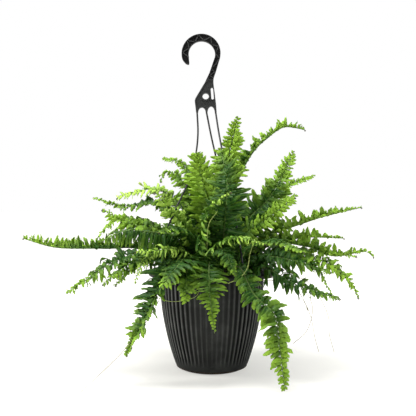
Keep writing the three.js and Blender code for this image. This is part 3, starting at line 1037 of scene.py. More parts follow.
@dataclass
class Soil:
    """The peat that fills the pot, with loose crumbs on it."""

    pot: Pot
    top: float = 178 * MM
    sunk: float = 2.4 * MM
    mound: float = 3 * MM
    gap: float = 0.4 * MM
    rings: int = 44
    columns: int = 132
    lump: float = 3.2 * MM
    coarse_size: float = 16 * MM
    fine_size: float = 4.5 * MM
    crumbs: int = 420
    crumb_size: Range = (1.2 * MM, 3.6 * MM)
    seed: int = 41

    def height_at(self, x: float, y: float) -> float:
        """Finds the height of the soil's uneven surface.

        Args:
            x: The place in X.
            y: The place in Y.

        Returns:
            The height there.
        """
        edge = float(self.pot.inside_radius(self.top))
        share = math.hypot(x, y) / edge
        coarse = noise.noise(Vector((x, y, 0)) / self.coarse_size)
        fine = noise.noise(Vector((x, y, 9 * MM)) / self.fine_size)
        return self.top - self.sunk + self.mound * (1 - share) + self.lump * (0.35 * coarse + 0.3 * fine)

    def _body(self) -> bpy.types.Object:
        """Builds the soil as one closed body.

        Returns:
            The piece.
        """
        angle = np.linspace(0, 2 * math.pi, self.columns, endpoint=False)
        floor, foot = self.pot.floor + self.gap, self.pot.foot_height
        rows = []
        for z in (floor, foot, 60 * MM, 120 * MM, self.top - 5 * MM):
            radius = self.pot.inside_radius(max(z, foot)) - self.gap
            height = np.full(self.columns, z)
            rows.append(np.stack([radius * np.cos(angle), radius * np.sin(angle), height], 1))
        edge = self.pot.inside_radius(self.top) - self.gap
        for share in np.linspace(1, 0.02, self.rings):
            x, y = edge * share * np.cos(angle), edge * share * np.sin(angle)
            z = [self.height_at(a, b) for a, b in zip(x, y, strict=True)]
            rows.append(np.stack([x, y, np.array(z)], 1))
        points = np.concatenate([*rows, [[0, 0, floor], [0, 0, self.height_at(0, 0)]]])
        fabric = Fabric()
        fabric.add(points, capped_faces(len(rows), self.columns))
        return fabric.piece("peat_bed", [PEAT])

    def _crumbs(self) -> bpy.types.Object:
        """Builds the lumps of peat and bark that lie half sunk in the surface.

        Returns:
            The piece.
        """
        random = np.random.default_rng(self.seed)
        ball = bmesh.new()
        bmesh.ops.create_icosphere(ball, subdivisions=1, radius=1.0)
        shape = np.array([v.co for v in ball.verts])
        faces = np.array([[*(v.index for v in f.verts), f.verts[2].index] for f in ball.faces])
        ball.free()
        edge = float(self.pot.inside_radius(self.top)) - 5 * MM
        fabric = Fabric()
        for _ in range(self.crumbs):
            reach, turn = edge * math.sqrt(random.random()), 2 * math.pi * random.random()
            x, y = reach * math.cos(turn), reach * math.sin(turn)
            size = random.uniform(*self.crumb_size)
            stretch = np.array([1.0, random.uniform(0.45, 0.9), random.uniform(0.35, 0.7)]) * size
            lump = shape * random.uniform(0.75, 1.2, (len(shape), 1)) * stretch
            c, s = math.cos(turn * 3), math.sin(turn * 3)
            spun = np.stack([lump[:, 0] * c - lump[:, 1] * s, lump[:, 0] * s + lump[:, 1] * c, lump[:, 2]], 1)
            fabric.add(spun + [x, y, self.height_at(x, y) + 0.1 * size], faces)
        return fabric.piece("peat_crumbs", [PEAT])

    def build(self) -> None:
        """Builds the soil and its crumbs."""
        dress(self._body(), ["potting_soil"])
        dress(self._crumbs())


# ---- Hanger ---------------------------------------------------------------------------------------


@dataclass
class Hanger:
    """The moulded hook with its eyed plate, and the three strands that hold the rim.

    Outlines and routes are in millimetres. An outline lies in X and Z.
    """

    pot: Pot
    centre: Range = (-20.5 * MM, 623 * MM)
    bend: float = 32.7 * MM
    band: float = 7 * MM
    shank: float = 5.2 * MM
    tip_angle: float = 220
    shank_angle: float = -22
    thickness: float = 7 * MM
    recess: float = 1.7 * MM
    flange: float = 1.9 * MM
    panel_depth: float = 0.8 * MM
    brace_width: float = 1.5 * MM
    brace_drop: float = 0.45 * MM
    brace_angle: float = 19
    leg_end: float = 506 * MM
    eye: Range = (-12 * MM, 538 * MM)
    eye_radius: float = 6.4 * MM
    boss_radius: float = 8.8 * MM
    boss_rise: float = 0.9 * MM
    slot_foot: Range = (1.8 * MM, 534 * MM)
    slot_head: Range = (0.4 * MM, 553 * MM)
    slot_width: float = 5 * MM
    slot_border: float = 2.6 * MM
    edge_round: float = 0.35 * MM
    strand_radius: float = 1.7 * MM
    rim_ring: float = 115 * MM
    collar: float = 4 * MM
    barb: float = 3.6 * MM

    RIGHT_SIDE = ((8.2, 587), (4.4, 576), (6.2, 543), (8.6, 523), (9.9, 506))
    LEFT_SIDE = ((-31.2, 506), (-34, 529), (-32.5, 534), (-13.4, 566), (-4.5, 585))
    SHANK_RIGHT = ((7.4, 590), (3.4, 579), (1.6, 572))
    SHANK_LEFT = ((-6.2, 573), (-2.4, 585), (1.0, 596))
    SHANK_BRACES = ((8.9, 603), (-0.5, 594.5), (5.2, 586), (-4.4, 580), (3.0, 575))
    PANEL_RIGHT = ((2.4, 567), (3.9, 543), (6.0, 523.5), (-1.2, 520.6), (-10.2, 512))
    PANEL_LEFT = ((-19.5, 518.6), (-29.8, 515), (-31.8, 528.5), (-30.4, 533.6), (-12.4, 563.6), (-6.9, 570))
    FEET = (180, -60, 60)
    ROUTES = {
        "left": (
            (-29.1, 0, 505.6), (-27.5, 0, 465), (-31, 0, 427), (-44, 0, 376), (-76, 0, 304), (-107, 0, 229),
        ),
        "front": ((8, 0, 505.6), (14, -8, 465), (26, -30, 398), (46, -72, 283), (54.5, -92, 225)),
        "back": ((-10.2, 0, 505.6), (-2, 9, 465), (14, 33, 398), (40, 74, 283), (53, 93, 225)),
    }

    def strand_feet(self) -> list[Range]:
        """Where the strands go through the rim, in X and Y: at the left, at the front and at the back."""
        turns = [math.radians(degrees) for degrees in self.FEET]
        return [(self.rim_ring * math.cos(turn), self.rim_ring * math.sin(turn)) for turn in turns]

    def _half_width(self, angle: float) -> float:
        """Finds half the width of the hook's band.

        Args:
            angle: The angle along its bend, in degrees.

        Returns:
            Half the width there.
        """
        taper = math.sqrt(min(1.0, max(0.0, (self.tip_angle - angle) / 26)))
        slim = float(smoothstep(angle, self.shank_angle, 80))
        return taper * (self.shank + (self.band - self.shank) * slim)

    def _bend_point(self, angle: float, offset: float) -> Range:
        """Finds a point of the bend.

        Args:
            angle: The angle along the bend, in degrees.
            offset: How far it is outside the middle line.

        Returns:
            The point in X and Z.
        """
        radius = self.bend + offset
        turn = math.radians(angle)
        return self.centre[0] + radius * math.cos(turn), self.centre[1] + radius * math.sin(turn)

    def _bend_edge(self, first: float, last: float, steps: int, side: int, inset: float = 0.0) -> Array:
        """Follows one edge of the bend.

        Args:
            first: The angle where it starts, in degrees.
            last: The angle where it ends.
            steps: The number of steps between them.
            side: 1 for the outer edge and -1 for the inner one.
            inset: How far inside the edge it stays.

        Returns:
            Its points.
        """
        angles = np.linspace(first, last, steps + 1)
        return np.array([self._bend_point(a, side * max(0.0, self._half_width(a) - inset)) for a in angles])

    def _curve(self, points: tuple[Range, ...], count: int) -> Array:
        """A smooth curve through points in millimetres."""
        line = Line(np.array(points) * MM)
        return line.at(np.linspace(0, line.length, count))

    def _arch(self, right: float, left: float, crown: float) -> Array:
        """Follows the rounded top of the gap between two legs, from right to left.

        Args:
            right: Where the gap ends at the right, in millimetres.
            left: Where it ends at the left.
            crown: The height of its top.

        Returns:
            Its points.
        """
        turn = np.linspace(0, math.pi, 17)
        middle, half = (right * MM + left * MM) / 2, (right * MM - left * MM) / 2
        rise = crown * MM - self.leg_end
        return np.stack([middle + half * np.cos(turn), self.leg_end + rise * np.sin(turn)], 1)

    def _outline(self) -> Array:
        """Follows the outline of hook and plate.

        Returns:
            Its points, once round.
        """
        return np.concatenate(
            [
                self._bend_edge(self.tip_angle, self.shank_angle, 90, 1),
                self._curve(self.RIGHT_SIDE, 24),
                self._arch(6.1, -8.3, 518),
                self._arch(-12.1, -27, 516),
                np.array(self.LEFT_SIDE) * MM,
                self._bend_edge(self.shank_angle, self.tip_angle - 3, 80, -1),
            ]
        )

    def _channel(self) -> Array:
        """Outlines the channel between the flanges of the hook.

        Returns:
            Its points, once round.
        """
        first, last = self.tip_angle - 12, self.shank_angle + 4
        return np.concatenate(
            [
                self._bend_edge(first, last, 70, 1, self.flange),
                self._curve(self.SHANK_RIGHT, 6),
                self._curve(self.SHANK_LEFT, 6),
                self._bend_edge(last, first, 70, -1, self.flange),
            ]
        )

    def _arc(self, middle: Range | Array, radius: float, turn: Array) -> Array:
        """The points of a round stretch, at those angles."""
        return np.stack([middle[0] + radius * np.cos(turn), middle[1] + radius * np.sin(turn)], 1)

    def _circle(self, middle: Range, radius: float) -> Array:
        """A round outline."""
        return self._arc(middle, radius, np.linspace(0, 2 * math.pi, 36, endpoint=False))

    def _bar(self, start: Range | Array, end: Range | Array, width: float) -> Array:
        """Outlines a bar with round ends.

        Args:
            start: The middle of one end.
            end: The middle of the other.
            width: The bar's width.

        Returns:
            Its points.
        """
        heading = math.atan2(end[1] - start[1], end[0] - start[0])
        turn = np.linspace(-math.pi / 2, math.pi / 2, 9)
        far = self._arc(end, width / 2, turn + heading)
        return np.concatenate([far, self._arc(start, width / 2, turn + (heading + math.pi))])

    def _braces(self) -> list[Array]:
        """Outlines the braces that run to and fro across the channel and down the shank.

        Returns:
            The outline of each brace.
        """
        corners = []
        angles = np.arange(self.tip_angle - 26, self.shank_angle, -self.brace_angle)
        for k, angle in enumerate(angles):
            offset = (self._half_width(angle) - 0.6 * self.flange) * (1 if k % 2 else -1)
            corners.append(np.array(self._bend_point(angle, offset)))
        corners += list(np.array(self.SHANK_BRACES) * MM)
        return [self._bar(start, end, self.brace_width) for start, end in pairwise(corners)]

    def _relief(self, hook: bpy.types.Object) -> None:
        """Sinks the channel and the plate's panel, and raises what stands up from them, on both faces.

        Args:
            hook: The plain hook.
        """
        half = self.thickness / 2
        channel, panel = self._channel(), np.array(self.PANEL_RIGHT + self.PANEL_LEFT) * MM
        boss = self._circle(self.eye, self.boss_radius)
        slot_frame = self._bar(self.slot_foot, self.slot_head, self.slot_width + self.slot_border)
        cuts, joins = [], []
        for side in (-1, 1):
            beyond = side * half + side * MM
            cuts.append(slab(channel, side * (half - self.recess), beyond))
            cuts.append(slab(panel, side * (half - self.panel_depth), beyond))
            joins += [slab(brace, 0.0, side * (half - self.brace_drop)) for brace in self._braces()]
            joins.append(slab(boss, 0.0, side * half + side * self.boss_rise))
            joins.append(slab(slot_frame, 0.0, side * half))
        cut(hook, cuts)
        cut(hook, joins, "UNION")

    def _paint_brace_glints(self, hook: bpy.types.Object) -> None:
        """Paints the tops of the braces lighter, as painted glints, and makes the plate lighter than the
        rest.

        Args:
            hook: The finished hook.
        """
        points = np.empty(3 * len(hook.data.vertices), np.float32)
        hook.data.vertices.foreach_get("co", points)
        _, depth, height = np.abs(points.reshape(-1, 3)).T
        on_brace = np.abs(depth - (self.thickness / 2 - self.brace_drop)) < 0.12 * MM
        on_plate = 1 - smoothstep(height, 566 * MM, 584 * MM)
        # Painted glints on the braces' tops; the plate is lighter too.
        tone = np.maximum(np.where(on_brace, 1.0, 0.04), 0.62 * on_plate)
        hook.data.attributes.new("tone", "FLOAT", "POINT").data.foreach_set("value", tone.astype(np.float32))

    def _hook(self) -> bpy.types.Object:
        """Builds the hook with its plate.

        Returns:
            The finished piece.
        """
        half, reach = self.thickness / 2, self.thickness
        hook = prism(self._outline(), -half, half, "hanger_hook_plate")
        self._relief(hook)
        eye = prism(self._circle(self.eye, self.eye_radius), -reach, reach)
        slot = prism(self._bar(self.slot_foot, self.slot_head, self.slot_width), -reach, reach)
        cut(hook, [eye, slot])
        soften = hook.modifiers.new("edges", "BEVEL")
        soften.width = self.edge_round
        soften.segments = 2
        soften.limit_method = "ANGLE"
        soften.angle_limit = math.radians(40)
        soften.harden_normals = False
        settle(hook)
        self._paint_brace_glints(hook)
        hook.data.materials.clear()
        hook.data.materials.append(FINISHES[HANGER_PLASTIC])
        hook.data.polygons.foreach_set("use_smooth", np.ones(len(hook.data.polygons), bool))
        hook.data.set_sharp_from_angle(angle=math.radians(32))
        return hook

    def _clip(self) -> list[Range]:
        """Gives the section of a strand's end, with its barb under the rim and its collar on it.

        Returns:
            The height and the radius of each ring, from the barb's tip up.
        """
        top = self.pot.height
        under = top - self.pot.rim_skin - 1.0 * MM
        return [
            (under - 9 * MM, 1.2 * MM),
            (under - 8.4 * MM, 1.5 * MM),
            (under - 3 * MM, self.barb),
            (under - 2.6 * MM, self.barb - 0.3 * MM),
            (under - 2.6 * MM, self.strand_radius),
            (top + 0.4 * MM, self.strand_radius),
            (top + 0.4 * MM, self.collar - 0.3 * MM),
            (top + 0.8 * MM, self.collar),
            (top + 2.0 * MM, self.collar),
            (top + 2.4 * MM, self.collar - 0.5 * MM),
            (top + 4.2 * MM, self.strand_radius),
        ]

    def _strand(self, name: str, foot: Range) -> None:
        """Builds a strand with its collar on the rim and its barb under it.

        Args:
            name: Which strand it is.
            foot: Where it goes through the rim, in X and Y.
        """
        route = np.array(self.ROUTES[name]) * MM
        line = Line(np.array([*route, [*foot, self.pot.height + 1.4 * MM]]))
        fabric = Fabric()
        add_wire(fabric, line, self.strand_radius * (1.08 - 0.16 * np.linspace(0, 1, 90)), corners=12)
        heights, radii = (np.array(column) for column in zip(*self._clip(), strict=True))
        count = len(heights)
        centres = np.stack([np.full(count, foot[0]), np.full(count, foot[1]), heights], 1)
        add_tube(fabric, centres, *upright_frames(count), radii, 20)
        strand = fabric.piece(f"strand_{name}", [HANGER_PLASTIC])
        strand.data.set_sharp_from_angle(angle=math.radians(50))
        dress(strand, [f"hanger_strand_{name}"])

    def build(self) -> None:
        """Builds hook, plate and strands."""
        dress(self._hook(), ["hanger_hook"])
        for name, foot in zip(self.ROUTES, self.strand_feet(), strict=True):
            self._strand(name, foot)


# ---- Fronds ---------------------------------------------------------------------------------------


@dataclass(frozen=True)
class Habit:
    """How a frond carries its leaflets. Angles are in radians.

    Attributes:
        finish: The finish of the leaflets' upper faces.
        age: How far their colour goes from the finish's young green to its old green.
        spacing: The widest spacing of the leaflets.
        stretch: Their length, as a share of the reach in the frame.
        width: Their width, as a share of the spacing.
        lean: How far they lean towards the tip.
        rise: How steeply they start.
        droop: How far they bend down on their way.
        curl: How far their ends curl under.
        louvre: How far they are turned about themselves.
        unrest: How much they differ from one another.
        ruffle: How deep the waves of their edges are.
        sag: How far their weight pulls them down.
        crozier: The size of the coil at the frond's tip.
        point: How pointed they are.
        slim: How much shorter they are towards the tip.
        waist: How much shorter they are in the lower part of the blade.
        waist_end: Where that part ends, as a share of the blade.
        facing: How far the blade is turned towards the front.
        clumps: How much their length differs in groups.
        foot: How much longer they are at the blade's foot.
    """

    finish: LeafFinish = MATURE_LEAF
    age: float = 0.75
    spacing: float = 9.6 * MM
    stretch: float = 1.12
    width: float = 1.12
    lean: float = 0.2
    rise: float = 0.35
    droop: float = 0.6
    curl: float = 0.6
    louvre: float = 0.22
    unrest: float = 1.0
    ruffle: float = 0.16
    sag: float = 0.2
    crozier: float = 0.6
    point: float = 0.45
    slim: float = 0.0
    waist: float = 0.0
    waist_end: float = 0.5
    facing: float = 0.0
    clumps: float = 0.12
    foot: float = 0.0


class Growth(Enum):
    """The kinds of frond on the plant."""

    MATURE = Habit(age=0.72, width=1.6)
    DENSE = Habit(
        age=0.74, spacing=7.4 * MM, width=1.9, rise=0.2, curl=0.5, louvre=0.12, unrest=0.9, ruffle=0.3
    )
    BLADE = Habit(
        age=0.7, spacing=6 * MM, width=2.3, stretch=1.2, rise=0.25, droop=0.5, curl=0.5, louvre=0.14,
        unrest=1.2, ruffle=0.34, point=0.3, sag=0.1,
    )
    UPRIGHT = Habit(
        age=0.5, spacing=7.8 * MM, width=1.75, lean=0.3, droop=0.5, unrest=1.1, ruffle=0.28, point=0.3
    )
    FRESH = Habit(age=0.55, rise=0.4, curl=0.9, spacing=9.4 * MM, width=1.35, unrest=1.3, ruffle=0.24)
    HANGING = Habit(
        age=0.6, spacing=8.6 * MM, width=1.7, stretch=1.25, lean=0.0, droop=0.9, curl=0.9, louvre=0.3,
        unrest=1.2, ruffle=0.3, sag=0.4, waist=0.15, waist_end=0.4, point=0.4,
    )
    KEELED = Habit(
        age=0.42, spacing=8.2 * MM, stretch=1.3, width=1.6, lean=0.1, rise=1.0, droop=0.15, curl=1.4,
        louvre=0.05, unrest=1.7, ruffle=0.34, sag=0.0, point=0.1, clumps=0.16,
    )
    CRISPED = Habit(
        age=0.6, spacing=7.6 * MM, stretch=1.5, width=1.7, rise=0.6, droop=1.3, curl=1.4, louvre=0.3,
        unrest=2.2, ruffle=0.36, sag=0.4, crozier=1.0, slim=-0.1, clumps=0.16, foot=0.15,
    )
    YOUNG = Habit(
        finish=YOUNG_LEAF, age=0.5, spacing=8.4 * MM, stretch=1.1, width=1.2, rise=0.5, droop=0.8, curl=1.0,
        louvre=0.3, unrest=1.7, ruffle=0.3, crozier=1.0, point=0.7,
    )
    CURLY = Habit(
        finish=YOUNG_LEAF, age=0.5, spacing=6.4 * MM, stretch=1.2, width=1.1, rise=0.6, droop=1.6, curl=1.8,
        louvre=0.3, unrest=2.4, ruffle=0.36, sag=0.8, crozier=1.0, point=0.8,
    )


@dataclass
class Midrib:
    """The line that a frond follows, read from its node in the frame.

    The node is a closed sheet: a stem of four square rings, then a pair of points at each side of
    the midrib and one at the end of each leaflet, all a blade's thickness apart.
    """

    line: Line
    sides: Array
    stem_length: float
    reach_marks: Array
    reach_values: Array

    BLADE = 0.9 * MM
    BLADE_SLACK = 0.02 * MM
    RIB = 2.9 * MM
    WELD = 0.01 * MM
    SAMPLES = 260

    @classmethod
    def _corners(cls, node: bpy.types.Object) -> Array:
        """Gathers the node's vertices, each once.

        Args:
            node: The frond's node in the frame.

        Returns:
            The places of its vertices.
        """
        shape = bmesh.new()
        shape.from_mesh(node.data)
        bmesh.ops.remove_doubles(shape, verts=shape.verts, dist=cls.WELD)
        corners = np.array([v.co for v in shape.verts])
        shape.free()
        return corners

    @staticmethod
    def _rings(corners: Array, ribs: Array) -> list[Array]:
        """Finds the middles of the stem's square rings.

        Args:
            corners: The corners of all the rings.
            ribs: The points of the midrib beyond the stem.

        Returns:
            The middles, from the root to the blade.
        """
        rings = []
        while len(corners):
            order = np.argsort(np.linalg.norm(corners - corners[0], axis=1))
            rings.append(corners[order[:4]].mean(axis=0))
            corners = corners[order[4:]]
        return sorted(rings, key=lambda ring: -np.linalg.norm(ribs - ring, axis=1).min())

    @staticmethod
    def _in_turn(start: Array, ribs: Array) -> list[int]:
        """Finds the order in which the points of the midrib follow one another.

        Args:
            start: The point before the first of them.
            ribs: The points.

        Returns:
            The number of each point, from the stem to the tip.
        """
        order, rest = [], list(range(len(ribs)))
        while rest:
            away = np.linalg.norm(ribs[rest] - start, axis=1)
            order.append(rest.pop(int(away.argmin())))
            start = ribs[order[-1]]
        return order

    @staticmethod
    def _one_hand(sides: Array, tangents: Array, bare: int) -> Array:
        """Turns the sides all to one hand, so that the frond's upper face looks up.

        Args:
            sides: The side at each point of the line, to either hand.
            tangents: The way that the line takes there.
            bare: The number of points on the stem, which have no side of their own.

        Returns:
            The sides.
        """
        upward = sides * np.where(np.cross(tangents, sides)[:, 2] >= 0, 1.0, -1.0)[:, None]
        for k in range(bare + 1, len(upward)):
            if np.dot(upward[k], upward[k - 1]) < 0:
                upward[k] *= -1
        upward[:bare] = upward[bare]
        outer = len(upward) // 2
        flipped = np.cross(tangents[outer:], upward[outer:])[:, 2].sum() < 0
        return -upward if flipped else upward

    @classmethod
    def read(cls, node: bpy.types.Object) -> "Midrib":
        """Reads the midrib, the sides of its blade and the reach of its leaflets.

        Args:
            node: The frond's node in the frame.

        Returns:
            The midrib.
        """
        corners = cls._corners(node)
        gaps = np.linalg.norm(corners[:, None] - corners[None], axis=2)
        low, high = np.where(np.triu(np.abs(gaps - cls.BLADE) < cls.BLADE_SLACK))
        middles = (corners[low] + corners[high]) / 2
        near = np.linalg.norm(middles[:, None] - middles[None], axis=2) < cls.RIB
        left, right = np.where(np.triu(near, 1))
        ribs = (middles[left] + middles[right]) / 2
        ends = np.delete(middles, np.concatenate([left, right]), axis=0)
        rings = cls._rings(np.delete(corners, np.concatenate([low, high]), axis=0), ribs)
        order = cls._in_turn(rings[-1], ribs)
        line = Line(np.array([*rings, *ribs[order]]))
        rib_sides = unit(middles[left] - middles[right])
        sides = np.concatenate([np.zeros((len(rings), 3)), rib_sides[order]])
        upward = cls._one_hand(sides, line.tangent(line.marks), len(rings))
        steps = np.linspace(0, line.length, cls.SAMPLES)
        away = np.linalg.norm(ends[:, None] - line.at(steps)[None], axis=2)
        marks, reaches = steps[away.argmin(axis=1)], away.min(axis=1)
        outward = np.argsort(marks)
        return cls(line, upward, float(line.marks[len(rings) - 1]), marks[outward], reaches[outward])

    def reach(self, distance: Array | float) -> Array | float:
        """How far the leaflets reach from the midrib at a distance from its root."""
        return np.interp(distance, self.reach_marks, self.reach_values)

    def frames(self, distance: Array) -> tuple[Array, Array, Array, Array]:
        """Finds the midrib's frames.

        Args:
            distance: Distances from the root.

        Returns:
            The points, tangents, sides and upper normals there.
        """
        tangents = self.line.tangent(distance)
        sides = square_to(self.line.read(self.sides, distance), tangents)
        return self.line.at(distance), tangents, sides, np.cross(tangents, sides)


@dataclass
class Frond:
    """One frond: a grooved midrib, its leaflets as thin closed blades, and scales at its foot."""

    number: int
    midrib: Midrib
    habit: Habit

    SEED = 700
    ROWS = 12
    COLUMNS = 4
    ALONG = 1 - (1 - np.linspace(0, 1, ROWS + 1)) ** 1.25
    ACROSS = np.linspace(-1, 1, COLUMNS + 1)
    SKIN = 0.42 * MM
    UV_LENGTH = 0.01
    NARROWEST = 5.6 * MM
    STEM_RADIUS = 1.3 * MM
    TIP_RADIUS = 0.5 * MM
    COIL_RADIUS = 2.6 * MM
    COIL_TURNS = 1.35
    LEAFLESS = 0.3
    SCALES = 16
    SCALE_LENGTH = (2.0, 4.6)
    SCALE_HALF = 0.28 * MM
    TOP_SLOT, UNDER_SLOT, STALK_SLOT = 0, 1, 2

    def __post_init__(self) -> None:
        """Seeds the frond's own draws."""
        self.random = np.random.default_rng(self.SEED + self.number)
        self.fabric = Fabric()

    def _spread(self, scale: float, count: int) -> Array:
        """Draws how far each leaflet differs, more where the frond is restless."""
        return self.habit.unrest * scale * self.random.normal(0, 1, count)

    def _even(self, scale: float, count: int) -> Array:
        """Draws a factor near 1 for each leaflet."""
        return 1 + np.clip(scale * self.random.normal(0, 1, count), -2 * scale, 2 * scale)

    def _marks(self) -> tuple[Array, Array, Array]:
        """Spaces the leaflets along the midrib, on alternate sides.

        Returns:
            Their distances from the root, their sides, 1 or -1, and the spacing there.
        """
        places, sides, steps = [], [], []
        place, side = self.LEAFLESS * self.midrib.stem_length, 1
        while place < self.midrib.line.length - 2 * MM:
            wanted = 0.25 * self.midrib.reach(place) + 4.8 * MM
            step = float(np.clip(wanted, self.NARROWEST, self.habit.spacing))
            places.append(place + step * self.random.uniform(-0.1, 0.1))
            sides.append(side)
            steps.append(step)
            place += step / 2
            side = -side
        return np.array(places), np.array(sides, float), np.array(steps)

    def _lengths(self, place: Array, hand: Array, blade_share: Array, growing: Array) -> Array:
        """Draws the leaflets' lengths.

        Args:
            place: Their distances from the root.
            hand: The side that each is on.
            blade_share: How far up the blade each is.
            growing: How much of their size they have at the stem.

        Returns:
            The lengths.
        """
        habit = self.habit
        length = habit.stretch * self.midrib.reach(place) * self._even(0.07, len(place)) * growing
        length *= 1 - habit.slim * smoothstep(blade_share, 0.4, 0.95)
        upper_part = smoothstep(blade_share, 0.8 * habit.waist_end, 1.2 * habit.waist_end)
        length *= 1 - habit.waist * (1 - upper_part)
        phases = 2 * math.pi * self.random.random(4)
        swell = np.sin(place / (9 * MM) + phases[0] * hand) + np.sin(place / (5.3 * MM) + phases[1] * hand)
        return length * ((1 + habit.clumps * swell) * (1 + habit.foot * (1 - blade_share) ** 2))

    def _starts(self, place: Array, hand: Array, blade_share: Array) -> tuple[Array, Array, Array]:
        """Draws how the leaflets leave the midrib, which is turned to the front as the habit says.

        Args:
            place: Their distances from the root.
            hand: The side that each is on.
            blade_share: How far up the blade each is.

        Returns:
            Where they start, the way that they start in, and the way that their upper faces look.
        """
        points, tangents, sides, normals = self.midrib.frames(place)
        facing = self.habit.facing
        front = square_to(np.tile([0.0, -1.0, 0.0], (len(points), 1)), tangents)
        normals = square_to(normals * (1 - facing) + front * facing, tangents)
        sides = np.cross(normals, tangents)
        lean = self.habit.lean + 0.45 * blade_share**4 + self._spread(0.06, len(place))
        axis, _ = rotated(hand[:, None] * sides, tangents, lean - 0.12 * np.exp(-blade_share / 0.1))
        louvre = self.habit.louvre + self._spread(0.16, len(place))
        face, _ = rotated(normals, square_to(-tangents, axis), louvre)
        return points, axis, square_to(face, axis)

    def _sweep(self, starts: tuple[Array, Array, Array], hand: Array, length: Array) -> tuple[Array, ...]:
        """Draws the way that each leaflet takes: how it rises, droops, curls, sags and twists.

        Args:
            starts: Where the leaflets start, the way in which, and the way that their faces look.
            hand: The side that each is on.
            length: Their lengths.

        Returns:
            The points of their middle lines, and the directions across and out of the blade there.
        """
        habit, share, count = self.habit, self.ALONG, len(hand)
        points, axis, face = starts
        pitch = (
            (habit.rise + self._spread(0.12, count))[:, None]
            - (habit.droop + self._spread(0.2, count))[:, None] * share
            - (habit.curl * self.random.uniform(-0.4, 1.4, count))[:, None] * share**3
        )
        heading = (hand * (0.3 + self._spread(0.12, count)))[:, None] * (share - 0.25)
        forward, _ = rotated(axis[:, None], np.cross(axis, face)[:, None], heading)
        way, lift = rotated(forward, face[:, None], pitch)
        way = unit(way - UP * (habit.sag * share)[None, :, None])
        lift = square_to(lift, way)
        twist = self._spread(0.22, count)[:, None] * (0.3 + share) + self._spread(0.1, count)[:, None]
        cross, lift = rotated(np.cross(lift, way), lift, twist)
        steps = np.diff(share, prepend=0)[None, :, None] * length[:, None, None]
        return points[:, None] + np.cumsum(way * steps, axis=1) + axis[:, None] * 0.4 * MM, cross, lift

    def _outline(self, share: Array, distal: Array) -> Array:
        """Shapes the leaflet, which has an ear at its root on the side towards the frond's tip.

        Args:
            share: Shares of its length.
            distal: Whether a point is on the side towards the tip.

        Returns:
            Half its width there, as a share of half its greatest width.
        """
        body = (1 - (0.2 + 0.5 * self.habit.point) * share) * np.sqrt(np.clip(1 - share**3.0, 0, 1))
        root = 1 - 0.35 * np.exp(-share / 0.03)
        ear = 0.32 * np.exp(-(((share - 0.09) / 0.075) ** 2))
        shoulder = 1 - 0.3 * np.exp(-share / 0.12)
        return body * root * np.where(distal, 1 + ear, shoulder)

    def _blades(self, lines: tuple[Array, ...], hand: Array, half_width: Array) -> tuple[Array, Array]:
        """Draws the leaflets' waved blades.

        Args:
            lines: The points of their middle lines, and the directions across and out of the blade.
            hand: The side that each is on.
            half_width: Half their greatest widths.

        Returns:
            The points of their upper faces, and those of their under faces inside the edge.
        """
        middle, cross, lift = lines
        share, v = self.ALONG[None, :, None], self.ACROSS
        width = self._outline(share, v * -hand[:, None, None] > 0) * half_width[:, None, None]
        notch = 1 - 0.09 * (np.abs(v) == 1) * (np.arange(self.ROWS + 1) % 2)[None, :, None]
        offset = v * width * notch
        phase = self.random.random((len(hand), 1, 1))
        waves = self.habit.ruffle * np.sin(2 * math.pi * (2.6 * share + phase + 0.5 * (v > 0)))
        height = width * (np.abs(v) ** 2 * (waves - 0.16))
        sheet = middle[:, :, None] + cross[:, :, None] * offset[..., None]
        sheet = sheet + lift[:, :, None] * height[..., None]
        skin = 0.5 * self.SKIN * (1 - v**2) * np.clip(1.4 - share, 0.3, 1)
        shell = lift[:, :, None] * skin[..., None]
        return sheet + shell, (sheet - shell)[:, 1:-1, 1:-1]

    @staticmethod
    def _joined(upper: Array, under: Array) -> Array:
        """The values of a leaflet's upper face and then of its under face, in one row."""
        rows = [grid.reshape(len(grid), -1, grid.shape[-1]) for grid in (upper, under)]
        return np.concatenate(rows, axis=1)

    @staticmethod
    def _quads(grid: Array) -> Array:
        """The quads of a grid of vertex numbers."""
        return np.stack([grid[:-1, :-1], grid[1:, :-1], grid[1:, 1:], grid[:-1, 1:]], -1).reshape(-1, 4)

    def _faces(self) -> Array:
        """Joins the points of one leaflet. Its two faces share the points of the edge.

        Returns:
            The quads, by vertex number.
        """
        rows, columns = self.ROWS, self.COLUMNS
        upper = np.arange((rows + 1) * (columns + 1)).reshape(rows + 1, columns + 1)
        inside = upper.size + np.arange((rows - 1) * (columns - 1))
        under = upper.copy()
        under[1:-1, 1:-1] = inside.reshape(rows - 1, columns - 1)
        return np.concatenate([self._quads(upper), self._quads(under)[:, ::-1]])

    def _ages(self, blade_share: Array, growing: Array) -> Array:
        """Draws each point's age: darkest at the blade's foot, lightest at the leaflets' ends, partly painted
        shade.

        Args:
            blade_share: How far up the blade each leaflet is.
            growing: How much of its size it has.

        Returns:
            The age of each point of each leaflet.
        """
        # Darker on the stem and at the blade's foot, lighter at the leaflets' ends: partly age, partly
        # painted shade in the crown and painted light on the outer ends.
        ageing = self.habit.age + 0.45 * (1 - growing) + 0.46 * (1 - blade_share) ** 1.5
        ageing = ageing - 0.5 * blade_share**2.5 + 0.07 * self.random.normal(0, 1, len(blade_share))
        along = np.broadcast_to(self.ALONG[None, :, None, None], (1, self.ROWS + 1, self.COLUMNS + 1, 1))
        outward = self._joined(along, along[:, 1:-1, 1:-1])[..., 0]
        return np.clip(ageing[:, None] + 0.2 - 0.55 * outward**1.5, 0, 1)

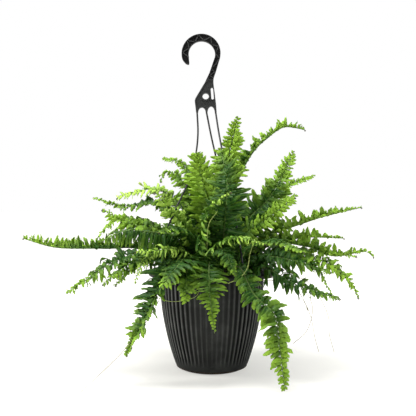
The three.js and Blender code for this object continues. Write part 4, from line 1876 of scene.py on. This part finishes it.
    def _leaflets(self) -> None:
        """Adds all the leaflets."""
        place, hand, step = self._marks()
        count, stem = len(place), self.midrib.stem_length
        blade_share = np.clip((place - stem) / (self.midrib.line.length - stem), 0, 1)
        growing = 0.3 + 0.7 * smoothstep(place, self.LEAFLESS * stem, stem)
        length = self._lengths(place, hand, blade_share, growing)
        half_width = 0.5 * self.habit.width * (1 - 0.4 * blade_share**3) * step * self._even(0.07, count)
        lines = self._sweep(self._starts(place, hand, blade_share), hand, length)
        vertices = self._joined(*self._blades(lines, hand, half_width))
        tone = np.clip(0.5 + 0.22 * self.random.normal(0, 1, count), 0, 1)
        age = self._ages(blade_share, growing)
        distance = (self.ALONG[None, :, None] * length[:, None, None]) / self.UV_LENGTH
        uv = np.stack(np.broadcast_arrays(distance, self.ACROSS), -1)
        slots = np.repeat([self.TOP_SLOT, self.UNDER_SLOT], self.ROWS * self.COLUMNS)
        self.fabric.add(
            vertices.reshape(-1, 3),
            repeated_faces(self._faces(), count, vertices.shape[1]),
            np.tile(slots, count),
            age=age.ravel(),
            tone=np.repeat(tone, vertices.shape[1]),
            uv=self._joined(uv, uv[:, 1:-1, 1:-1]).reshape(-1, 2),
        )

    def _coil(self, end: Array, tangent: Array, normal: Array) -> tuple[Array, Array]:
        """Follows the small coil that a young frond ends in.

        Args:
            end: The midrib's last point.
            tangent: The way that it takes there.
            normal: The way that its upper face looks there.

        Returns:
            The coil's points and its radii.
        """
        turns = np.linspace(0.12, 1, 26)
        angle = 2 * math.pi * self.COIL_TURNS * turns
        size = self.COIL_RADIUS * self.habit.crozier * (1 - 0.72 * turns)
        centre = end - normal * size[0]
        circle = np.sin(angle)[:, None] * tangent + np.cos(angle)[:, None] * normal
        return centre + size[:, None] * circle, self.TIP_RADIUS * (1.1 + 0.5 * turns)

    def _rib(self) -> None:
        """Adds the stem and midrib, with the coil at its end."""
        distance = np.linspace(0, self.midrib.line.length, 64)
        points, tangents, sides, normals = self.midrib.frames(distance)
        share = distance / self.midrib.line.length
        radii = self.STEM_RADIUS + (self.TIP_RADIUS - self.STEM_RADIUS) * share**1.1
        if self.habit.crozier:
            coil, coil_radii = self._coil(points[-1], tangents[-1], normals[-1])
            points = np.concatenate([points, coil])
            sides = np.concatenate([sides, np.tile(sides[-1], (len(coil), 1))])
            tangents = unit(np.gradient(points, axis=0))
            sides = square_to(sides, tangents)
            normals = np.cross(tangents, sides)
            radii = np.concatenate([radii, coil_radii])
            share = np.concatenate([share, np.ones(len(coil))])
        age = np.clip(0.95 - 1.7 * share + 0.25 * self.habit.age, 0, 1)
        age[len(distance) :] = 0.85
        add_tube(self.fabric, points, sides, normals, radii, groove=0.22, slots=self.STALK_SLOT, age=age)

    def _scales(self) -> None:
        """Adds the brown scales, thin as hair, that cover the foot of the stem."""
        random, count = self.random, self.SCALES
        distance = self.midrib.stem_length * random.uniform(0.12, 0.95, count) ** 1.3
        points, tangents, sides, normals = self.midrib.frames(distance)
        turn = random.uniform(0, 2 * math.pi, count)[:, None]
        out = np.cos(turn) * sides + np.sin(turn) * normals
        skew = unit(np.cross(tangents, out)) * self.SCALE_HALF
        length = random.uniform(*self.SCALE_LENGTH, count)[:, None] * MM
        foot = points + out * 0.9 * MM
        tip = foot + (0.8 * out + 0.75 * tangents * random.choice([-1, 1], (count, 1))) * length
        vertices = np.stack([foot + skew, foot - skew, foot + tangents * 2 * self.SCALE_HALF, tip], 1)
        faces = np.array([[0, 1, 2, 2], [0, 3, 1, 1], [1, 3, 2, 2], [2, 3, 0, 0]])
        self.fabric.add(vertices.reshape(-1, 3), repeated_faces(faces, count, 4), self.STALK_SLOT, age=1.0)

    def build(self) -> None:
        """Builds the frond as one piece."""
        self._leaflets()
        self._rib()
        self._scales()
        name = f"frond_{self.number:02d}"
        frond = self.fabric.piece(f"{name}_fine", [self.habit.finish, LEAF_UNDERSIDE, STALK])
        dress(frond, [name])


class Crown:
    """All the fronds, each with the growth that the plant shows there. The rest are mature."""

    GROWTHS = {
        Growth.YOUNG: (3, 35, 48),
        Growth.CURLY: (12, 13, 33, 34),
        Growth.CRISPED: (2, 4, 5, 7, 8, 9, 10, 11, 28, 29, 30, 31, 32),
        Growth.UPRIGHT: (19, 22, 23, 24, 47, 49),
        Growth.BLADE: (6, 14, 17, 21, 41),
        Growth.KEELED: (1, 20, 25, 26, 27),
        Growth.DENSE: (15, 16, 36, 37, 38, 39, 40, 42, 44, 45, 46, 50, 51, 52, 53, 54),
        Growth.HANGING: (18,),
        Growth.FRESH: (43,),
    }
    CHANGES = {
        1: {"age": 0.45, "slim": -0.6, "spacing": 6 * MM},
        3: {"stretch": 1.7, "width": 1.5, "age": 0.3, "slim": -0.4},
        5: {"age": 0.5},
        6: {"age": 0.26, "facing": 0.6, "stretch": 1.35, "lean": 0.3},
        7: {"age": 0.35, "width": 1.8},
        8: {"age": 0.3, "spacing": 6 * MM},
        13: {"age": 0.3, "stretch": 1.4},
        14: {"rise": 0.7, "lean": 0.3, "stretch": 1.25, "foot": 0.5},
        15: {"age": 0.9},
        16: {"age": 0.64},
        17: {"age": 0.5, "crozier": 1.2, "slim": 0.5, "foot": 0.3, "width": 1.6, "unrest": 1.6, "lean": 0.0},
        18: {"age": 0.44},
        19: {
            "age": 0.2, "spacing": 8 * MM, "width": 1.9, "point": 0.4, "stretch": 1.2, "lean": 0.0,
            "foot": 0.5,
        },
        20: {"slim": -0.4, "age": 0.45},
        21: {"age": 0.6, "spacing": 8.6 * MM, "width": 1.8, "facing": 0.4, "foot": 0.5, "slim": -0.3},
        22: {"slim": -0.5, "spacing": 9 * MM, "age": 0.4},
        23: {"slim": -0.3, "stretch": 1.3, "age": 0.3},
        24: {"slim": -0.3, "stretch": 1.3, "age": 0.3},
        25: {"age": 0.02},
        26: {"age": 0.05},
        27: {"age": 0.12},
        28: {"age": 0.2},
        29: {"age": 0.25},
        30: {"age": 0.45},
        31: {"age": 0.75, "foot": 0.5},
        32: {"age": 0.8, "foot": 0.9},
        33: {"foot": 0.4, "age": 0.6, "width": 1.5, "stretch": 1.3},
        34: {"foot": 1.2, "age": 0.7, "width": 1.8, "stretch": 1.5, "point": 0.4},
        35: {"stretch": 1.25, "width": 1.9, "age": 0.3, "slim": -0.4, "facing": 0.5, "point": 0.3},
        36: {"age": 0.9},
        37: {"age": 1.0, "foot": 0.3},
        38: {"age": 1.3},
        39: {"age": 0.8},
        40: {
            "age": 0.85, "width": 1.4, "stretch": 1.45, "rise": -0.3, "droop": 0.7, "sag": 0.5, "point": 0.3,
        },
        41: {"age": 0.82, "facing": 0.3, "foot": 0.6, "unrest": 1.6},
    }

    def habit_of(self, number: int) -> Habit:
        """The habit of a frond by its number."""
        growths = [growth for growth, numbers in self.GROWTHS.items() if number in numbers]
        return replace((growths or [Growth.MATURE])[0].value, **self.CHANGES.get(number, {}))

    def build(self, nodes: dict[str, bpy.types.Object]) -> None:
        """Builds a frond for every frond node.

        Args:
            nodes: The nodes of the frame, by name.
        """
        for name in sorted(name for name in nodes if name.startswith("frond_")):
            number = int(name.removeprefix("frond_"))
            Frond(number, Midrib.read(nodes[name]), self.habit_of(number)).build()


# ---- Runners --------------------------------------------------------------------------------------


@dataclass(frozen=True)
class Runner:
    """One runner: its thickness, how brown it is, its way in millimetres and the knob at its end."""

    name: str
    radius: float
    age: float
    route: tuple[Point, ...]
    knob: float = 0.0

    RINGS = 120
    KNOB_PLACE = 0.985

    def build(self) -> None:
        """Builds the runner as a wire that thins towards its end."""
        line = Line(np.array(self.route) * MM)
        share = np.linspace(0, 1, self.RINGS)
        swell = self.knob / self.radius
        bulge = np.exp(-(((share - self.KNOB_PLACE) * line.length / (2.4 * self.knob + MM)) ** 2))
        fabric = Fabric()
        add_wire(fabric, line, self.radius * (1 - 0.25 * share + swell * bulge), corners=6, age=self.age)
        dress(fabric.piece(f"runner_{self.name}", [RUNNER_STALK]))


RUNNERS = (
    Runner(
        "inner", 0.75 * MM, 0.1,
        (
            (40, -50, 176), (66, -96, 244), (76, -118, 258), (67, -128, 232), (62, -133, 208),
            (49, -137, 192), (28, -138, 182),
        ),
    ),
    Runner(
        "rim_right", 0.45 * MM, 0.3,
        ((44, -62, 176), (50, -112, 208), (57, -124, 199), (68, -122, 184), (89, -100, 175)),
    ),
    Runner(
        "rim_front", 0.5 * MM, 0.2,
        (
            (-14, -60, 176), (-18, -112, 200), (-22, -131, 192), (-27, -138, 161), (-52, -140, 152),
            (-76, -140, 151), (-101, -138, 159),
        ),
    ),
    Runner(
        "left_long", 0.58 * MM, 0.9,
        (
            (-50, -60, 176), (-70, -110, 206), (-100, -136, 140), (-150, -133, 71), (-163, -137, 56),
            (-194, -158, 28), (-224, -176, 2),
        ),
    ),
    Runner(
        "right_upper", 0.45 * MM, 0.8,
        ((70, -30, 178), (140, -60, 206), (152, -60, 194), (160, -62, 180), (182, -66, 161)),
    ),
    Runner(
        "right_knob", 0.4 * MM, 0.8,
        ((70, -40, 178), (150, -88, 180), (165, -90, 153), (173, -90, 135), (177, -90, 126)), 0.9 * MM,
    ),
    Runner(
        "right_long", 0.56 * MM, 0.9,
        (
            (66, -50, 178), (158, -90, 176), (180, -95, 148), (184, -95, 136), (182, -95, 111),
            (173, -95, 88), (149, -95, 66),
        ),
    ),
    Runner(
        "right_low", 0.52 * MM, 0.9,
        (
            (66, -56, 178), (150, -92, 170), (176, -95, 130), (184, -95, 104), (188, -95, 81),
            (196, -95, 51),
        ),
    ),
    Runner(
        "right_far", 0.54 * MM, 0.9,
        (
            (72, -44, 178), (180, -90, 176), (203, -98, 141), (213, -100, 114), (214, -100, 87),
            (223, -100, 52),
        ),
    ),
    Runner(
        "middle", 0.6 * MM, 0.0,
        ((-8, -40, 176), (-9, -96, 228), (-9, -106, 248), (-4, -110, 290), (9, -108, 308)),
    ),
    Runner(
        "coil_left", 0.6 * MM, 0.1,
        (
            (-60, 20, 178), (-96, 40, 330), (-118, 48, 350), (-133, 50, 354), (-143, 50, 361),
            (-152, 50, 368),
        ),
        2.2 * MM,
    ),
)


# ---- Studio ---------------------------------------------------------------------------------------


@dataclass(frozen=True)
class Lamp:
    """A soft square lamp: its place, its size in metres, its power in watts and its colour."""

    name: str
    place: Point
    size: float
    power: float
    colour: Colour = (1.0, 1.0, 1.0)

    def build(self, aim: Point) -> None:
        """Hangs the lamp.

        Args:
            aim: The point that the lamp faces.
        """
        light = bpy.data.lights.new(self.name, "AREA")
        light.size = self.size
        light.energy = self.power
        light.color = self.colour
        lamp = bpy.data.objects.new(self.name, light)
        lamp.location = self.place
        way = Vector(aim) - Vector(self.place)
        lamp.rotation_euler = way.to_track_quat("-Z", "Y").to_euler()
        bpy.context.scene.collection.objects.link(lamp)


@dataclass
class Studio:
    """The camera at the photograph's viewpoint, the table top and soft light."""

    camera_place: Point = (-7.4 * MM, -1156 * MM, 315 * MM)
    lens: float = 50.0
    sensor: float = 36.0
    nearest: float = 50 * MM
    fill: float = 0.1
    backdrop: float = 0.75
    aim: Point = (0.0, 0.0, 0.25)
    table_radius: float = 40.0
    table_drop: float = 0.5 * MM

    LAMPS = (
        Lamp("lamp_left", (-1.5, -0.35, 1.2), 0.5, 28, (1.0, 0.99, 0.96)),
        Lamp("lamp_low", (-1.3, 0.1, 0.15), 0.3, 4.5),
        Lamp("lamp_right", (1.6, -0.3, 0.9), 0.6, 14, (0.97, 0.99, 1.0)),
        Lamp("lamp_top", (-0.2, -0.2, 1.8), 0.6, 33),
    )

    def _camera(self) -> None:
        """Sets up the camera, level and looking along +Y."""
        scene = bpy.context.scene
        camera = bpy.data.cameras.new("camera")
        camera.lens = self.lens
        camera.sensor_width = self.sensor
        camera.clip_start = self.nearest
        eye = bpy.data.objects.new("camera", camera)
        eye.location = self.camera_place
        eye.rotation_euler = (math.pi / 2, 0, 0)
        scene.collection.objects.link(eye)
        scene.camera = eye
        scene.view_settings.view_transform = "Standard"
        scene.view_settings.look = "None"

    def _world(self) -> None:
        """Makes a world that looks white to the camera and lights the plant mostly from behind."""
        world = bpy.data.worlds.new("studio_white")
        world.use_nodes = True
        bpy.context.scene.world = world
        graph = Graph(world.node_tree)
        direction = graph.node("ShaderNodeTexCoord", output="Generated")
        behind = graph.node("ShaderNodeSeparateXYZ", None, {0: direction}, output="Y").step(-0.5, 0.6)
        strength = self.fill + behind * (self.backdrop - self.fill)
        white = opaque((1.0, 1.0, 1.0))
        light = graph.node("ShaderNodeBackground", None, {"Color": white, "Strength": strength})
        seen = graph.node("ShaderNodeBackground", None, {"Color": white, "Strength": 1.0})
        by_camera = graph.node("ShaderNodeLightPath", output="Is Camera Ray")
        sky = graph.node("ShaderNodeMixShader", None, {0: by_camera, 1: light, 2: seen})
        graph.node("ShaderNodeOutputWorld", None, {"Surface": sky})

    def _table(self) -> None:
        """Lays the round table top that the pot stands on."""
        shape = bmesh.new()
        bmesh.ops.create_circle(shape, cap_ends=True, radius=self.table_radius, segments=96)
        mesh = bpy.data.meshes.new("table_top")
        shape.to_mesh(mesh)
        shape.free()
        mesh.materials.append(FINISHES[TABLE_TOP])
        table = bpy.data.objects.new("table_top", mesh)
        table.location = (0, 0, -self.table_drop)
        bpy.context.scene.collection.objects.link(table)

    def build(self) -> None:
        """Sets up the camera, the world, the lamps and the table top."""
        self._camera()
        self._world()
        for lamp in self.LAMPS:
            lamp.build(self.aim)
        self._table()


def main() -> None:
    """Builds the studio and the plant around the frame."""
    logging.basicConfig(level=logging.INFO, format="%(name)s %(message)s")
    Studio().build()
    pot = Pot()
    hanger = Hanger(pot)
    pot.build(hanger.strand_feet())
    Soil(pot).build()
    hanger.build()
    Crown().build(frame["nodes"])
    for runner in RUNNERS:
        runner.build()


if __name__ == "__main__":
    main()
